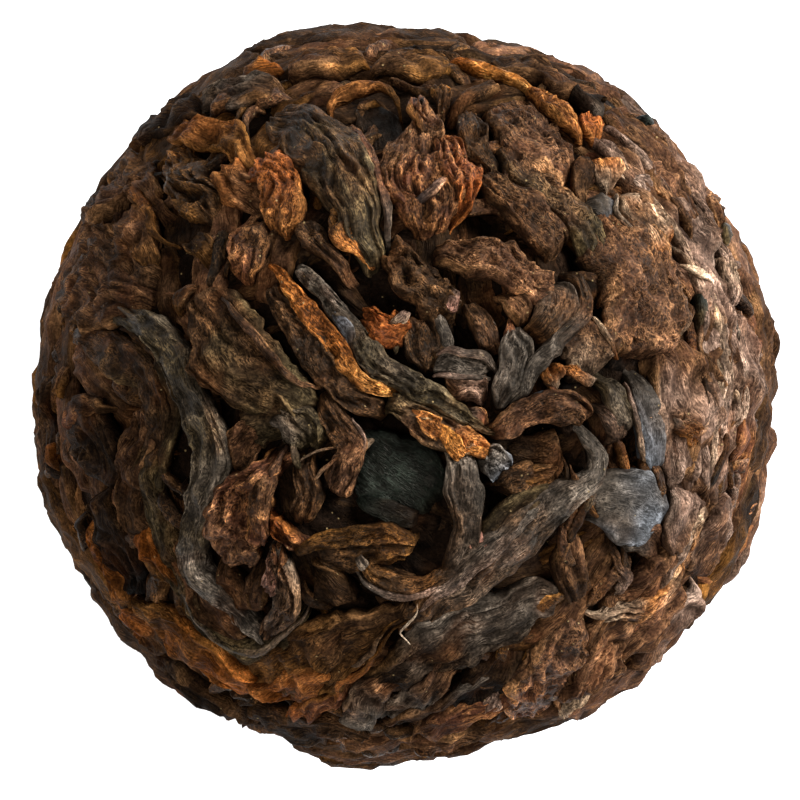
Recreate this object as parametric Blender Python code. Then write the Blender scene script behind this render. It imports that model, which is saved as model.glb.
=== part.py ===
"""Pu-erh tea pearl: one hand-rolled ball of dried, pressed tea leaves.

The ball is one fused solid: a core with the rolled and pressed leaves that show on it, each a
closed tapering blade. Metres, +Z up. The origin is the centre of the small flat spot that the
ball rests on, and the knot where the leaf ends were gathered lies on top.
"""
import math

import bmesh
import bpy
import numpy as np

MM = 0.001

# Driving dimensions, in millimetres.
BALL_RADIUS = 12.5        # outside of the pressed leaves
CENTRE_HEIGHT = 12.0      # ball's centre above the flat spot
CORE_RADIUS = 11.9        # solid mass under the leaves that show
EYE_HEIGHT = 110.0        # the plan below is drawn as seen from this far above the centre
KNOT_DEPTH = 1.0          # how far the gathered knot sinks on top
KNOT_REACH = 4.6          # radius of that hollow, to where it has nearly gone
KNOT_CENTRE = (1.4, 0.2)
LEAF_ROOT = 1.3           # how far a leaf's body reaches down below its edges
BLUNTNESS = 0.4           # how full a blade stays towards its ends: 1 is pointed, 0 cut off
RING_STEP = 1.5           # length of leaf to each ring of its mesh
WIDE_LEAF = 1.3           # from this width on a leaf has six sides, and below it five
FOOT_REACH = 17.0         # half angle of the filled spot underneath, in degrees
FOOT_RADIUS = 12.45       # the core's radius there, cut by the flat spot

NODE_NAME = "tea_pearl"

# Lumps of the ball's outline: bearing and half width in degrees, height in millimetres.
GIRTH_LUMPS = (
    (116.0, 13.0, 0.40), (84.0, 8.0, -0.24), (54.0, 9.0, 0.20), (38.0, 7.0, -0.12),
    (8.0, 7.0, 0.12), (-24.0, 5.0, 0.14), (-73.0, 9.0, -0.46), (-103.0, 6.0, 0.22),
    (-114.0, 5.0, -0.34), (-40.0, 9.0, -0.08), (155.0, 8.0, -0.12), (212.0, 12.0, -0.08),
)

# Deep gaps between the leaves: plan place, radius and depth below the core, in millimetres.
GAPS = (
    (-0.4, -2.9, 1.7, 1.6), (4.2, -2.8, 1.4, 1.3), (2.6, 5.9, 1.0, 1.1), (-0.5, 9.1, 0.7, 0.8),
    (6.4, 4.4, 0.9, 0.9), (2.4, 2.4, 1.3, 1.2), (4.9, 0.0, 1.0, 1.0), (-6.9, -4.9, 0.8, 0.7),
    (-9.7, -1.5, 0.8, 0.6), (-5.6, -0.5, 0.7, 0.8), (7.6, -6.0, 1.0, 0.8), (1.7, -10.2, 0.8, 0.7),
    (-5.5, -6.9, 0.7, 0.7), (-2.9, -7.8, 0.9, 0.7), (7.1, -1.8, 0.8, 0.8), (-1.0, 1.0, 0.8, 0.7),
)

# Leaves that show on top. Each row holds a name, the blade's widths from end to end, its crown
# height, and its ridge as plan places with the lift above the pressed surface, in millimetres.
TOP_LEAVES = (
    ("dome_leaf", (1.5, 2.4, 2.3, 1.5, 0.8), 0.7,
     ((-4.6, 9.6, 0.0), (-3.3, 9.0, 0.3), (-2.3, 7.9, 0.4), (-1.8, 6.4, 0.3), (-1.0, 4.4, 0.0))),
    ("amber_leaf", (0.8, 1.3, 1.2, 1.0), 0.4,
     ((-8.0, 8.9, 0.0), (-6.6, 9.0, 0.15), (-5.5, 8.3, 0.2), (-4.5, 7.6, 0.2))),
    ("rust_tip", (1.0, 1.6, 1.3, 0.6), 0.45,
     ((-4.6, 7.9, 0.1), (-4.2, 7.1, 0.35), (-4.1, 6.4, 0.25), (-4.4, 5.6, 0.0))),
    ("wrinkled_leaf", (1.0, 1.7, 1.7, 1.2), 0.4,
     ((-7.9, 8.0, -0.1), (-7.0, 7.4, 0.05), (-6.0, 7.0, 0.1), (-5.0, 6.6, 0.05))),
    ("oval_flake", (0.8, 1.3, 1.2, 0.6), 0.4,
     ((-5.5, 6.3, 0.05), (-5.8, 5.3, 0.2), (-6.1, 4.4, 0.2), (-5.8, 3.6, 0.0))),
    ("golden_strip", (0.5, 0.6, 0.6, 0.8, 0.9), 0.3,
     ((-4.5, 4.8, 0.0), (-3.0, 2.4, 0.15), (-1.6, 0.5, 0.25), (-0.2, -0.6, 0.3), (1.5, -1.4, 0.3))),
    ("strip_body", (0.7, 1.0, 1.0, 0.8), 0.35,
     ((-5.0, 4.6, -0.1), (-4.0, 2.6, 0.0), (-2.7, 0.7, 0.05), (-0.6, -0.9, 0.0))),
    ("grey_strip", (0.6, 0.8, 0.8, 0.8, 0.4), 0.35,
     ((-4.2, 5.0, 0.0), (-2.2, 2.7, 0.2), (-0.9, 1.0, 0.3), (1.0, -0.2, 0.3), (3.4, -1.4, 0.1))),
    ("rust_bud", (0.6, 0.9, 0.6), 0.4, ((-1.5, 2.7, 0.0), (-0.9, 2.75, 0.25), (-0.1, 2.5, 0.1))),
    ("russet_crumple", (1.0, 2.5, 2.6, 1.8, 0.7), 0.7,
     ((1.1, 9.9, 0.0), (0.9, 8.6, 0.35), (0.8, 7.4, 0.4), (0.9, 6.3, 0.3), (1.0, 5.4, 0.0))),
    ("top_fold", (0.6, 0.9, 0.6), 0.35, ((-2.7, 9.9, 0.0), (-1.7, 10.6, 0.15), (-0.2, 10.5, 0.1))),
    ("top_band", (0.8, 1.2, 0.8), 0.35, ((-1.0, 11.5, 0.1), (0.7, 11.6, 0.15), (2.2, 11.2, 0.1))),
    ("crown_leaf", (0.9, 1.4, 1.2), 0.35, ((-4.6, 11.0, 0.1), (-3.0, 11.3, 0.2), (-1.4, 11.4, 0.1))),
    ("corner_leaf", (0.9, 1.5, 1.1), 0.4, ((-7.2, 10.0, 0.0), (-5.8, 10.5, 0.15), (-4.3, 10.7, 0.1))),
    ("broad_leaf", (1.2, 2.0, 1.8, 1.0), 0.4,
     ((3.1, 10.2, 0.0), (4.0, 9.5, 0.15), (4.7, 8.7, 0.15), (5.6, 7.9, 0.0))),
    ("speckled_strip", (0.6, 1.0, 0.7), 0.35, ((2.2, 9.9, 0.1), (2.5, 8.8, 0.2), (3.3, 7.5, 0.1))),
    ("olive_strip", (0.7, 1.0, 1.1, 1.0, 0.7), 0.4,
     ((2.7, 9.7, 0.1), (3.7, 7.9, 0.25), (5.3, 6.9, 0.3), (6.5, 5.5, 0.2), (6.9, 4.1, 0.0))),
    ("grey_brown_strip", (0.8, 1.3, 1.2, 0.8), 0.45,
     ((2.4, 8.0, 0.1), (3.3, 7.0, 0.25), (4.7, 6.0, 0.2), (5.4, 4.5, 0.0))),
    ("knot_strip", (0.7, 1.1, 1.0, 0.7), 0.45,
     ((1.4, 5.1, 0.1), (2.6, 4.65, 0.3), (4.0, 4.3, 0.3), (5.1, 3.9, 0.2))),
    ("left_knot_strip", (0.9, 1.3, 1.2, 0.9), 0.45,
     ((-1.1, 5.2, 0.1), (0.0, 4.5, 0.25), (0.9, 3.9, 0.3), (1.7, 3.3, 0.2))),
    ("ringed_stub", (1.2, 1.5, 1.2), 0.5, ((1.1, 0.8, 0.05), (2.1, 0.9, 0.25), (3.1, 0.8, 0.05))),
    ("inner_tube", (0.6, 0.8, 0.6), 0.4, ((2.8, 3.2, -0.4), (3.0, 2.2, -0.3), (3.1, 1.3, -0.35))),
    ("striped_leaf", (0.8, 1.2, 1.1, 0.7), 0.4,
     ((5.0, 4.2, 0.1), (5.2, 3.2, 0.2), (4.7, 2.1, 0.2), (4.2, 1.2, 0.1))),
    ("heel_strip", (0.6, 0.8, 0.6), 0.35, ((4.5, 2.0, 0.0), (4.0, 0.8, 0.2), (3.5, -0.5, 0.1))),
    ("right_leaf", (1.4, 2.5, 2.8, 2.4, 1.1), 0.6,
     ((7.4, 6.3, 0.0), (8.0, 5.0, 0.3), (8.35, 3.6, 0.4), (8.5, 2.3, 0.35), (8.5, 1.0, 0.0))),
    ("ochre_leaf", (0.8, 1.2, 1.2, 0.7), 0.35,
     ((7.2, 7.2, 0.1), (8.4, 6.6, 0.2), (9.2, 5.6, 0.15), (9.7, 4.7, 0.0))),
    ("pebble", (0.7, 1.0, 0.7), 0.4, ((6.3, 6.8, 0.0), (6.8, 6.65, 0.15), (7.4, 6.5, 0.0))),
    ("slate_bar", (0.8, 1.1, 1.1, 0.8), 0.45,
     ((8.2, 0.9, 0.0), (8.55, -0.2, 0.25), (8.6, -1.5, 0.25), (8.8, -2.8, 0.05))),
    ("slate_plate", (1.0, 1.7, 1.3), 0.4, ((6.8, -3.7, 0.0), (7.9, -3.8, 0.2), (9.0, -4.2, 0.05))),
    ("chin_leaf", (0.6, 0.9, 0.7), 0.35, ((7.1, -4.9, 0.0), (8.1, -5.2, 0.1), (9.2, -5.0, 0.05))),
    ("crinkled_leaf", (1.0, 1.5, 1.2), 0.4, ((5.3, 2.4, 0.0), (6.2, 1.4, 0.15), (7.2, 0.5, 0.1))),
    ("golden_knob", (0.6, 0.8, 0.5), 0.4, ((4.8, 1.0, 0.1), (5.0, 0.6, 0.3), (5.2, 0.1, 0.1))),
    ("wrinkled_strip", (0.9, 1.2, 1.2, 0.8), 0.45,
     ((3.0, -1.8, 0.1), (4.4, -1.35, 0.3), (5.5, -0.8, 0.3), (6.5, -0.3, 0.2))),
    ("long_strip", (0.8, 1.1, 1.4, 1.5, 1.3, 0.7), 0.5,
     ((6.4, -0.9, 0.1), (6.8, -2.4, 0.25), (5.8, -4.0, 0.3), (4.0, -5.7, 0.3), (1.9, -7.1, 0.2),
      (-0.2, -8.2, 0.0))),
    ("inner_strip", (0.6, 0.9, 0.8), 0.4, ((5.1, -3.5, -0.1), (3.8, -4.3, 0.0), (2.5, -5.2, 0.0))),
    ("down_strip", (0.9, 1.2, 1.2, 1.1, 0.9, 0.7), 0.5,
     ((1.7, -1.8, 0.2), (1.95, -3.6, 0.35), (1.85, -5.2, 0.3), (1.0, -6.4, 0.2), (-0.3, -6.55, 0.15),
      (-1.4, -6.0, 0.0))),
    ("green_leaf", (1.4, 2.6, 2.6, 1.4), 0.4,
     ((-1.8, -1.9, -0.9), (-0.8, -2.7, -0.8), (0.2, -3.3, -0.8), (1.2, -3.7, -1.0))),
    ("slate_chip", (0.6, 0.9, 0.6), 0.3, ((2.4, -2.1, -0.3), (2.8, -2.5, -0.25), (3.1, -3.0, -0.4))),
    ("hollow_leaf", (0.9, 1.5, 1.1), 0.4, ((3.1, -2.6, -0.8), (4.1, -2.8, -0.7), (5.2, -2.9, -0.7))),
    ("belly_leaf", (0.8, 1.3, 1.5, 1.0), 0.4,
     ((-4.0, -5.8, 0.0), (-2.5, -5.3, 0.1), (-0.8, -5.2, 0.1), (0.7, -5.6, -0.1))),
    ("left_broad_leaf", (1.2, 2.2, 2.1, 1.6, 1.1), 0.55,
     ((-7.3, 3.3, 0.0), (-6.2, 1.9, 0.25), (-5.1, 0.8, 0.3), (-4.0, 0.0, 0.25), (-3.0, -0.7, 0.1))),
    ("folded_lobe", (0.9, 1.4, 1.0), 0.45, ((-4.9, -0.2, 0.1), (-4.1, -0.9, 0.3), (-3.5, -1.7, 0.1))),
    ("tail_leaf", (0.8, 1.0, 1.0, 0.6), 0.4,
     ((-2.8, -0.1, 0.15), (-1.9, -1.0, 0.3), (-2.2, -2.2, 0.2), (-2.7, -3.3, 0.0))),
    ("russet_leaf", (0.8, 1.6, 2.0, 1.8, 0.9), 0.5,
     ((-4.3, -1.8, 0.0), (-5.1, -2.8, 0.2), (-5.8, -3.9, 0.3), (-6.0, -5.0, 0.25), (-5.8, -6.3, 0.0))),
    ("charcoal_leaf", (0.7, 1.0, 0.5), 0.4, ((-3.8, -2.2, 0.0), (-3.6, -3.5, 0.15), (-3.3, -4.9, 0.0))),
    ("orange_chip", (0.6, 0.9, 0.6), 0.35, ((-4.2, -3.8, 0.0), (-4.3, -4.6, 0.25), (-3.8, -5.4, 0.1))),
    ("pale_strip", (0.6, 0.9, 0.9, 0.6), 0.35,
     ((-5.0, -5.2, 0.1), (-4.9, -6.5, 0.2), (-4.8, -7.6, 0.2), (-5.0, -8.5, 0.1))),
    ("left_strip", (0.8, 1.2, 1.2, 1.1, 0.8), 0.45,
     ((-10.7, 3.2, 0.0), (-8.8, 2.5, 0.2), (-7.6, 0.6, 0.25), (-7.15, -1.6, 0.2), (-7.0, -3.9, 0.0))),
    ("second_left_strip", (0.6, 0.8, 0.8, 0.6), 0.35,
     ((-9.9, 2.1, 0.05), (-8.3, 0.7, 0.15), (-7.85, -1.4, 0.15), (-7.4, -3.8, 0.0))),
    ("third_left_strip", (0.6, 0.9, 0.9, 0.7), 0.4,
     ((-10.4, 1.5, 0.1), (-8.8, 0.0, 0.2), (-8.35, -2.2, 0.2), (-8.5, -4.4, 0.1))),
    ("turning_strip", (0.7, 1.0, 1.0, 1.0, 0.9, 0.7), 0.4,
     ((-8.1, -4.0, 0.0), (-7.1, -6.0, 0.2), (-5.8, -8.1, 0.2), (-4.8, -8.6, 0.2), (-3.7, -7.6, 0.15),
      (-3.2, -6.2, 0.0))),
    ("chestnut_strip", (0.8, 1.0, 1.0, 0.7), 0.4,
     ((-9.4, 0.1, 0.0), (-9.15, -1.9, 0.1), (-9.1, -3.6, 0.15), (-8.5, -5.1, 0.1))),
    ("dusk_leaf", (0.9, 1.3, 1.0), 0.35, ((-10.6, -3.0, 0.0), (-10.0, -4.7, 0.1), (-9.1, -6.5, 0.0))),
    ("pocket_lobe", (1.2, 1.8, 1.4), 0.45, ((-11.3, -0.9, -0.1), (-10.8, -1.9, 0.0), (-10.4, -3.0, 0.0))),
    ("left_cheek", (1.0, 1.6, 1.3), 0.4, ((-12.0, 3.9, 0.0), (-11.4, 2.6, 0.1), (-11.2, 1.1, 0.0))),
    ("left_brow", (0.9, 1.4, 1.2), 0.4, ((-11.2, 5.2, 0.0), (-10.1, 4.2, 0.1), (-8.6, 3.4, 0.0))),
    ("small_flake", (0.6, 1.0, 0.7), 0.3, ((-9.7, 5.8, 0.0), (-9.2, 4.9, 0.1), (-8.6, 4.1, 0.0))),
    ("shoulder_leaf", (0.9, 1.5, 1.1), 0.4, ((-10.6, 7.0, 0.0), (-9.6, 7.4, 0.1), (-8.3, 7.6, 0.0))),
    ("upper_left_leaf", (0.9, 1.5, 1.0), 0.4, ((-9.3, 8.6, 0.0), (-8.2, 9.3, 0.1), (-6.9, 9.8, 0.0))),
    ("nested_leaf", (0.8, 1.2, 0.9), 0.3, ((-8.1, 4.4, -0.1), (-7.1, 4.2, 0.0), (-6.4, 3.2, -0.1))),
    ("dark_fill_leaf", (0.7, 1.1, 0.8), 0.3, ((-7.4, 6.2, -0.1), (-6.8, 5.4, 0.0), (-7.0, 4.6, -0.1))),
    ("amber_sweep", (0.8, 1.2, 1.3, 0.8), 0.4,
     ((-8.4, -6.2, 0.0), (-7.5, -7.6, 0.15), (-6.5, -9.0, 0.2), (-5.2, -10.3, 0.1))),
    ("bottom_leaf", (0.9, 1.6, 1.6, 1.1, 0.6), 0.45,
     ((-5.9, -9.2, 0.0), (-4.4, -9.2, 0.2), (-2.9, -8.9, 0.2), (-1.5, -8.4, 0.2), (-0.2, -7.8, 0.0))),
    ("lower_left_leaf", (0.9, 1.4, 1.0), 0.4, ((-9.6, -7.4, 0.0), (-8.7, -7.9, 0.1), (-7.8, -8.9, 0.0))),
    ("lower_left_rim", (0.8, 1.2, 0.9), 0.4, ((-8.4, -9.1, 0.0), (-7.1, -9.9, 0.1), (-5.6, -10.8, 0.0))),
    ("lower_dark_leaf", (0.9, 1.8, 2.1, 1.7, 0.9), 0.5,
     ((5.3, -6.7, 0.0), (3.8, -7.8, 0.2), (2.1, -8.7, 0.25), (0.3, -9.5, 0.2), (-1.5, -10.5, 0.0))),
    ("lower_fold", (0.6, 0.9, 0.6), 0.35, ((2.4, -9.2, 0.1), (1.2, -10.1, 0.2), (-0.2, -11.1, 0.05))),
    ("lower_slab", (1.0, 1.5, 1.1), 0.4, ((3.7, -9.0, -0.1), (3.0, -9.9, 0.0), (2.2, -10.8, -0.1))),
    ("bottom_band", (0.7, 1.0, 0.7), 0.35, ((2.4, -11.0, 0.1), (0.9, -11.4, 0.15), (-0.9, -11.6, 0.05))),
    ("bottom_rim", (0.9, 1.3, 1.0), 0.4, ((-4.8, -11.1, 0.0), (-3.1, -11.6, 0.1), (-1.2, -11.9, 0.05))),
    ("fibrous_leaf", (1.0, 1.7, 1.6, 1.0), 0.45,
     ((6.0, -7.7, 0.0), (5.4, -8.9, 0.2), (4.8, -9.9, 0.2), (4.2, -11.1, 0.0))),
    ("second_fibrous_leaf", (0.8, 1.2, 0.9), 0.35,
     ((7.2, -8.2, 0.0), (6.3, -9.2, 0.15), (5.5, -10.4, 0.05))),
    ("curl", (0.6, 0.8, 0.8, 0.6), 0.4,
     ((7.5, -6.0, -0.4), (6.7, -6.2, -0.2), (6.6, -6.9, -0.2), (7.2, -7.2, -0.4))),
    ("right_band", (0.8, 1.2, 1.2, 0.8), 0.35,
     ((10.2, 4.2, 0.0), (10.4, 2.2, 0.1), (10.4, 0.0, 0.15), (10.1, -2.0, 0.0))),
    ("right_rim_band", (0.8, 1.1, 1.1, 0.8), 0.35,
     ((11.2, 4.0, 0.0), (11.6, 1.8, 0.1), (11.6, -0.6, 0.1), (11.3, -2.8, 0.0))),
    ("smooth_cheek", (0.9, 1.4, 1.0), 0.35, ((9.5, -0.6, 0.0), (9.9, -1.9, 0.15), (10.3, -3.1, 0.0))),
    ("right_jaw", (0.8, 1.2, 0.9), 0.4, ((11.2, -3.2, 0.0), (10.7, -4.7, 0.1), (9.9, -6.2, 0.0))),
    ("olive_cheek", (0.8, 1.1, 0.8), 0.35, ((9.5, -2.9, 0.0), (9.4, -4.0, 0.1), (9.5, -5.2, 0.0))),
    ("upper_right_band", (0.8, 1.2, 1.2, 0.8), 0.35,
     ((6.4, 10.1, 0.0), (7.9, 8.9, 0.1), (9.2, 7.5, 0.15), (10.1, 5.9, 0.0))),
    ("upper_right_rim", (0.8, 1.1, 1.1, 0.8), 0.35,
     ((7.3, 9.9, 0.0), (8.9, 8.6, 0.1), (10.1, 7.1, 0.1), (11.0, 5.4, 0.0))),
    ("top_right_rim", (0.8, 1.2, 0.8), 0.35, ((2.7, 11.6, 0.0), (4.7, 11.0, 0.1), (6.5, 10.3, 0.0))),
)

# Leaves wound round the sides and underneath: rings by the angle from the top, and their leaves.
WRAP_RINGS = ((76.0, 11), (92.0, 11), (108.0, 10), (125.0, 8), (145.0, 5), (166.0, 2))
WRAP_LENGTH = (6.5, 9.5)
WRAP_WIDTH = (2.0, 3.0)
WRAP_LIFT = (-0.05, 0.15)
WRAP_CROWN = 0.45
WRAP_SLOPE = 32.0
WRAP_BEND = 28.0
WRAP_SEED = 41


def girth(bearing):
    """Height of the outline's lumps at a bearing in degrees."""
    rise = 0.0
    for centre, spread, height in GIRTH_LUMPS:
        offset = (bearing - centre + 180.0) % 360.0 - 180.0
        rise += height * math.exp(-((offset / spread) ** 2))
    return rise


def swell(x, y):
    """Scale of the ball at a plan place: the lumps fade towards the top."""
    reach = min(math.hypot(x, y) / BALL_RADIUS, 1.0)
    return 1.0 + girth(math.degrees(math.atan2(y, x))) / BALL_RADIUS * reach ** 4


def knot_drop(x, y):
    """Depth of the gathered knot's hollow at a plan place."""
    away = math.hypot(x - KNOT_CENTRE[0], y - KNOT_CENTRE[1])
    return KNOT_DEPTH * math.exp(-((away / KNOT_REACH) ** 2))


def spot(x, y, lift):
    """Point of the ball, from its centre, under a plan place seen from the eye."""
    scale = swell(x, y)
    radius = BALL_RADIUS + lift - knot_drop(x, y)
    flat = math.hypot(x, y) / scale
    a = flat ** 2 + EYE_HEIGHT ** 2
    under_root = EYE_HEIGHT ** 4 - a * (EYE_HEIGHT ** 2 - radius ** 2)
    t = (EYE_HEIGHT ** 2 - math.sqrt(max(under_root, 0.0))) / a
    place = np.array((x / scale * t, y / scale * t, EYE_HEIGHT * (1.0 - t)))
    return place * scale


def smooth_path(points, count):
    """Points at even steps of a Catmull-Rom curve through the given ones."""
    knots = np.vstack((2 * points[0] - points[1], points, 2 * points[-1] - points[-2]))
    curve = []
    for p0, p1, p2, p3 in zip(knots, knots[1:], knots[2:], knots[3:]):
        for t in np.linspace(0.0, 1.0, 12, endpoint=False):
            curve.append(0.5 * (2 * p1 + (p2 - p0) * t + (2 * p0 - 5 * p1 + 4 * p2 - p3) * t ** 2
                                + (3 * p1 - p0 - 3 * p2 + p3) * t ** 3))
    curve = np.array(curve + [points[-1]])
    along = np.concatenate(([0.0], np.cumsum(np.linalg.norm(np.diff(curve, axis=0), axis=1))))
    steps = np.linspace(0.0, along[-1], count)
    return np.column_stack([np.interp(steps, along, curve[:, k]) for k in range(3)]), along[-1]


def add_leaf(name, points, widths, crown, collection):
    """Add one closed blade: a sphere drawn out along the leaf's ridge."""
    rough = sum(np.linalg.norm(b - a) for a, b in zip(points, points[1:]))
    rings = int(min(max(round(rough / RING_STEP), 4), 7))
    sides = 6 if max(widths) > WIDE_LEAF else 5
    path, _ = smooth_path(points, rings + 1)
    mesh = bmesh.new()
    bmesh.ops.create_uvsphere(mesh, u_segments=sides, v_segments=rings, radius=1.0)
    along = np.gradient(path, axis=0)
    for vertex in mesh.verts:
        polar = math.acos(max(-1.0, min(1.0, vertex.co.z)))
        station = int(round(polar / math.pi * rings))
        share = station / rings
        around = math.atan2(vertex.co.y, vertex.co.x)
        tangent = along[station] / np.linalg.norm(along[station])
        out = path[station] / np.linalg.norm(path[station])
        side = np.cross(tangent, out)
        side /= np.linalg.norm(side)
        taper = math.sin(math.pi * share) ** BLUNTNESS if 0 < station < rings else 0.0
        width = np.interp(share * (len(widths) - 1), range(len(widths)), widths)
        height = crown if math.sin(around) > 0.0 else LEAF_ROOT
        place = (path[station] - out * crown
                 + side * math.cos(around) * 0.5 * width * taper
                 + out * math.sin(around) * height * taper)
        vertex.co = (place + np.array((0.0, 0.0, CENTRE_HEIGHT))) * MM
    bmesh.ops.recalc_face_normals(mesh, faces=mesh.faces)
    data = bpy.data.meshes.new(name)
    mesh.to_mesh(data)
    mesh.free()
    collection.objects.link(bpy.data.objects.new(name, data))


def add_top_leaves(collection):
    """Add the leaves that show on top, from their plan."""
    for name, widths, crown, plan in TOP_LEAVES:
        add_leaf(name, np.array([spot(*place) for place in plan]), widths, crown, collection)


def direction(polar, bearing):
    """Unit vector at an angle from the top and a bearing, in degrees."""
    p, b = math.radians(polar), math.radians(bearing)
    return np.array((math.sin(p) * math.cos(b), math.sin(p) * math.sin(b), math.cos(p)))


def wrap_path(start, heading, length, bend, lift):
    """Bent arc over the ball: it starts at a unit vector and turns steadily as it goes."""
    steps = 4
    place, course = start, heading
    points = []
    for _ in range(steps + 1):
        bearing = math.degrees(math.atan2(place[1], place[0]))
        flatness = math.hypot(place[0], place[1]) ** 4
        radius = BALL_RADIUS + lift + girth(bearing) * flatness
        points.append(place * radius)
        step = length / steps / BALL_RADIUS
        new_place = place * math.cos(step) + course * math.sin(step)
        course = course * math.cos(step) - place * math.sin(step)
        turn = math.radians(bend / steps)
        course = course * math.cos(turn) + np.cross(new_place, course) * math.sin(turn)
        place = new_place
    return np.array(points)


def add_wrap_leaves(collection):
    """Add the leaves wound round the sides and underneath, in rings."""
    chance = np.random.default_rng(WRAP_SEED)
    for ring, (polar, count) in enumerate(WRAP_RINGS):
        for place in range(count):
            bearing = 360.0 * (place + 0.5 * (ring % 2) + chance.uniform(-0.2, 0.2)) / count
            start = direction(polar + chance.uniform(-4.0, 4.0), bearing)
            round_ball = np.cross((0.0, 0.0, 1.0), start)
            round_ball /= np.linalg.norm(round_ball)
            slope = math.radians(chance.uniform(-WRAP_SLOPE, WRAP_SLOPE))
            course = round_ball * math.cos(slope) + np.cross(start, round_ball) * math.sin(slope)
            length = chance.uniform(*WRAP_LENGTH)
            middle = wrap_path(start, -course, length / 2, 0.0, 0.0)[-1]
            start = middle / np.linalg.norm(middle)
            course = course - start * np.dot(course, start)
            course /= np.linalg.norm(course)
            bend = chance.uniform(-WRAP_BEND, WRAP_BEND)
            width = chance.uniform(*WRAP_WIDTH)
            points = wrap_path(start, course, length, bend, chance.uniform(*WRAP_LIFT))
            widths = (0.7 * width, width, width, 0.7 * width)
            add_leaf(f"wrap_leaf_{ring}_{place}", points, widths, WRAP_CROWN, collection)


def core_radius(place):
    """Radius of the core towards a unit vector: a lumpy ball with its knot, gaps and foot."""
    bearing = math.degrees(math.atan2(place[1], place[0]))
    flatness = math.hypot(place[0], place[1]) ** 4
    radius = CORE_RADIUS + girth(bearing) * flatness
    if place[2] > 0.0:
        x, y = place[0] * BALL_RADIUS, place[1] * BALL_RADIUS
        radius -= knot_drop(x, y)
        for gap_x, gap_y, reach, depth in GAPS:
            radius -= depth * math.exp(-(((x - gap_x) ** 2 + (y - gap_y) ** 2) / reach ** 2))
    under = math.degrees(math.acos(max(-1.0, min(1.0, -place[2]))))
    fill = min(max((FOOT_REACH + 6.0 - under) / 6.0, 0.0), 1.0)
    return radius + (FOOT_RADIUS - radius) * fill


def add_core(collection):
    """Add the core, a sphere of small triangles pushed in and out."""
    mesh = bmesh.new()
    bmesh.ops.create_icosphere(mesh, subdivisions=4, radius=1.0)
    for vertex in mesh.verts:
        place = np.array(vertex.co)
        place /= np.linalg.norm(place)
        vertex.co = (place * core_radius(place) + np.array((0.0, 0.0, CENTRE_HEIGHT))) * MM
    data = bpy.data.meshes.new(NODE_NAME)
    mesh.to_mesh(data)
    mesh.free()
    core = bpy.data.objects.new(NODE_NAME, data)
    collection.objects.link(core)
    return core


def applied_mesh(thing):
    """Mesh of an object with its modifiers applied."""
    bpy.context.view_layer.update()
    graph = bpy.context.evaluated_depsgraph_get()
    return bpy.data.meshes.new_from_object(thing.evaluated_get(graph))


def set_mesh(thing, data):
    """Give an object an applied mesh in place of its modifiers."""
    thing.modifiers.clear()
    thing.data = data


def fuse(core, leaves):
    """Join the leaves to the core in one union, then remove the loose leaves."""
    union = core.modifiers.new("Fuse leaves", "BOOLEAN")
    union.operation = "UNION"
    union.operand_type = "COLLECTION"
    union.collection = leaves
    union.solver = "EXACT"
    set_mesh(core, applied_mesh(core))
    for leaf in list(leaves.objects):
        bpy.data.objects.remove(leaf)
    bpy.data.collections.remove(leaves)


def cut_foot(core, cutters):
    """Cut the flat spot that the ball rests on."""
    side = 40.0 * MM
    mesh = bmesh.new()
    bmesh.ops.create_cube(mesh, size=side)
    bmesh.ops.translate(mesh, verts=mesh.verts, vec=(0.0, 0.0, -side / 2))
    data = bpy.data.meshes.new("foot_cutter")
    mesh.to_mesh(data)
    mesh.free()
    cutter = bpy.data.objects.new("foot_cutter", data)
    cutter.hide_render = True
    cutter.display_type = "WIRE"
    cutters.objects.link(cutter)
    cut = core.modifiers.new("Flat spot", "BOOLEAN")
    cut.operation = "DIFFERENCE"
    cut.object = cutter
    cut.solver = "EXACT"
    set_mesh(core, applied_mesh(core))


def keep_outer_shell(thing):
    """Keep the largest closed shell: sealed hollows are filled and loose scraps dropped."""
    mesh = bmesh.new()
    mesh.from_mesh(thing.data)
    bmesh.ops.remove_doubles(mesh, verts=mesh.verts, dist=0.002 * MM)
    bmesh.ops.dissolve_degenerate(mesh, edges=mesh.edges, dist=0.002 * MM)
    bmesh.ops.triangulate(mesh, faces=mesh.faces)
    shells, seen = [], set()
    for first in mesh.faces:
        if first in seen:
            continue
        shell, waiting = [], [first]
        seen.add(first)
        while waiting:
            face = waiting.pop()
            shell.append(face)
            for edge in face.edges:
                for other in edge.link_faces:
                    if other not in seen:
                        seen.add(other)
                        waiting.append(other)
        shells.append(shell)
    shells.sort(key=len, reverse=True)
    for shell in shells[1:]:
        bmesh.ops.delete(mesh, geom=shell, context="FACES")
    mesh.to_mesh(thing.data)
    mesh.free()


def dress(thing):
    """Give the solid the colour and roughness of dry fermented tea."""
    material = bpy.data.materials.new("dry_tea_leaf")
    material.use_nodes = True
    surface = material.node_tree.nodes["Principled BSDF"]
    surface.inputs["Base Color"].default_value = (0.035, 0.021, 0.013, 1.0)
    surface.inputs["Roughness"].default_value = 0.6
    surface.inputs["Metallic"].default_value = 0.0
    thing.data.materials.clear()
    thing.data.materials.append(material)


def main():
    """Build the ball: core, leaves, their union, the flat spot and the finish."""
    for thing in list(bpy.data.objects):
        bpy.data.objects.remove(thing)
    parts = bpy.data.collections.new("tea_pearl_parts")
    leaves = bpy.data.collections.new("tea_pearl_leaves")
    cutters = bpy.data.collections.new("tea_pearl_cutters")
    for collection in (parts, leaves, cutters):
        bpy.context.scene.collection.children.link(collection)
    pearl = add_core(parts)
    add_top_leaves(leaves)
    add_wrap_leaves(leaves)
    fuse(pearl, leaves)
    cut_foot(pearl, cutters)
    keep_outer_shell(pearl)
    dress(pearl)


main()
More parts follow.
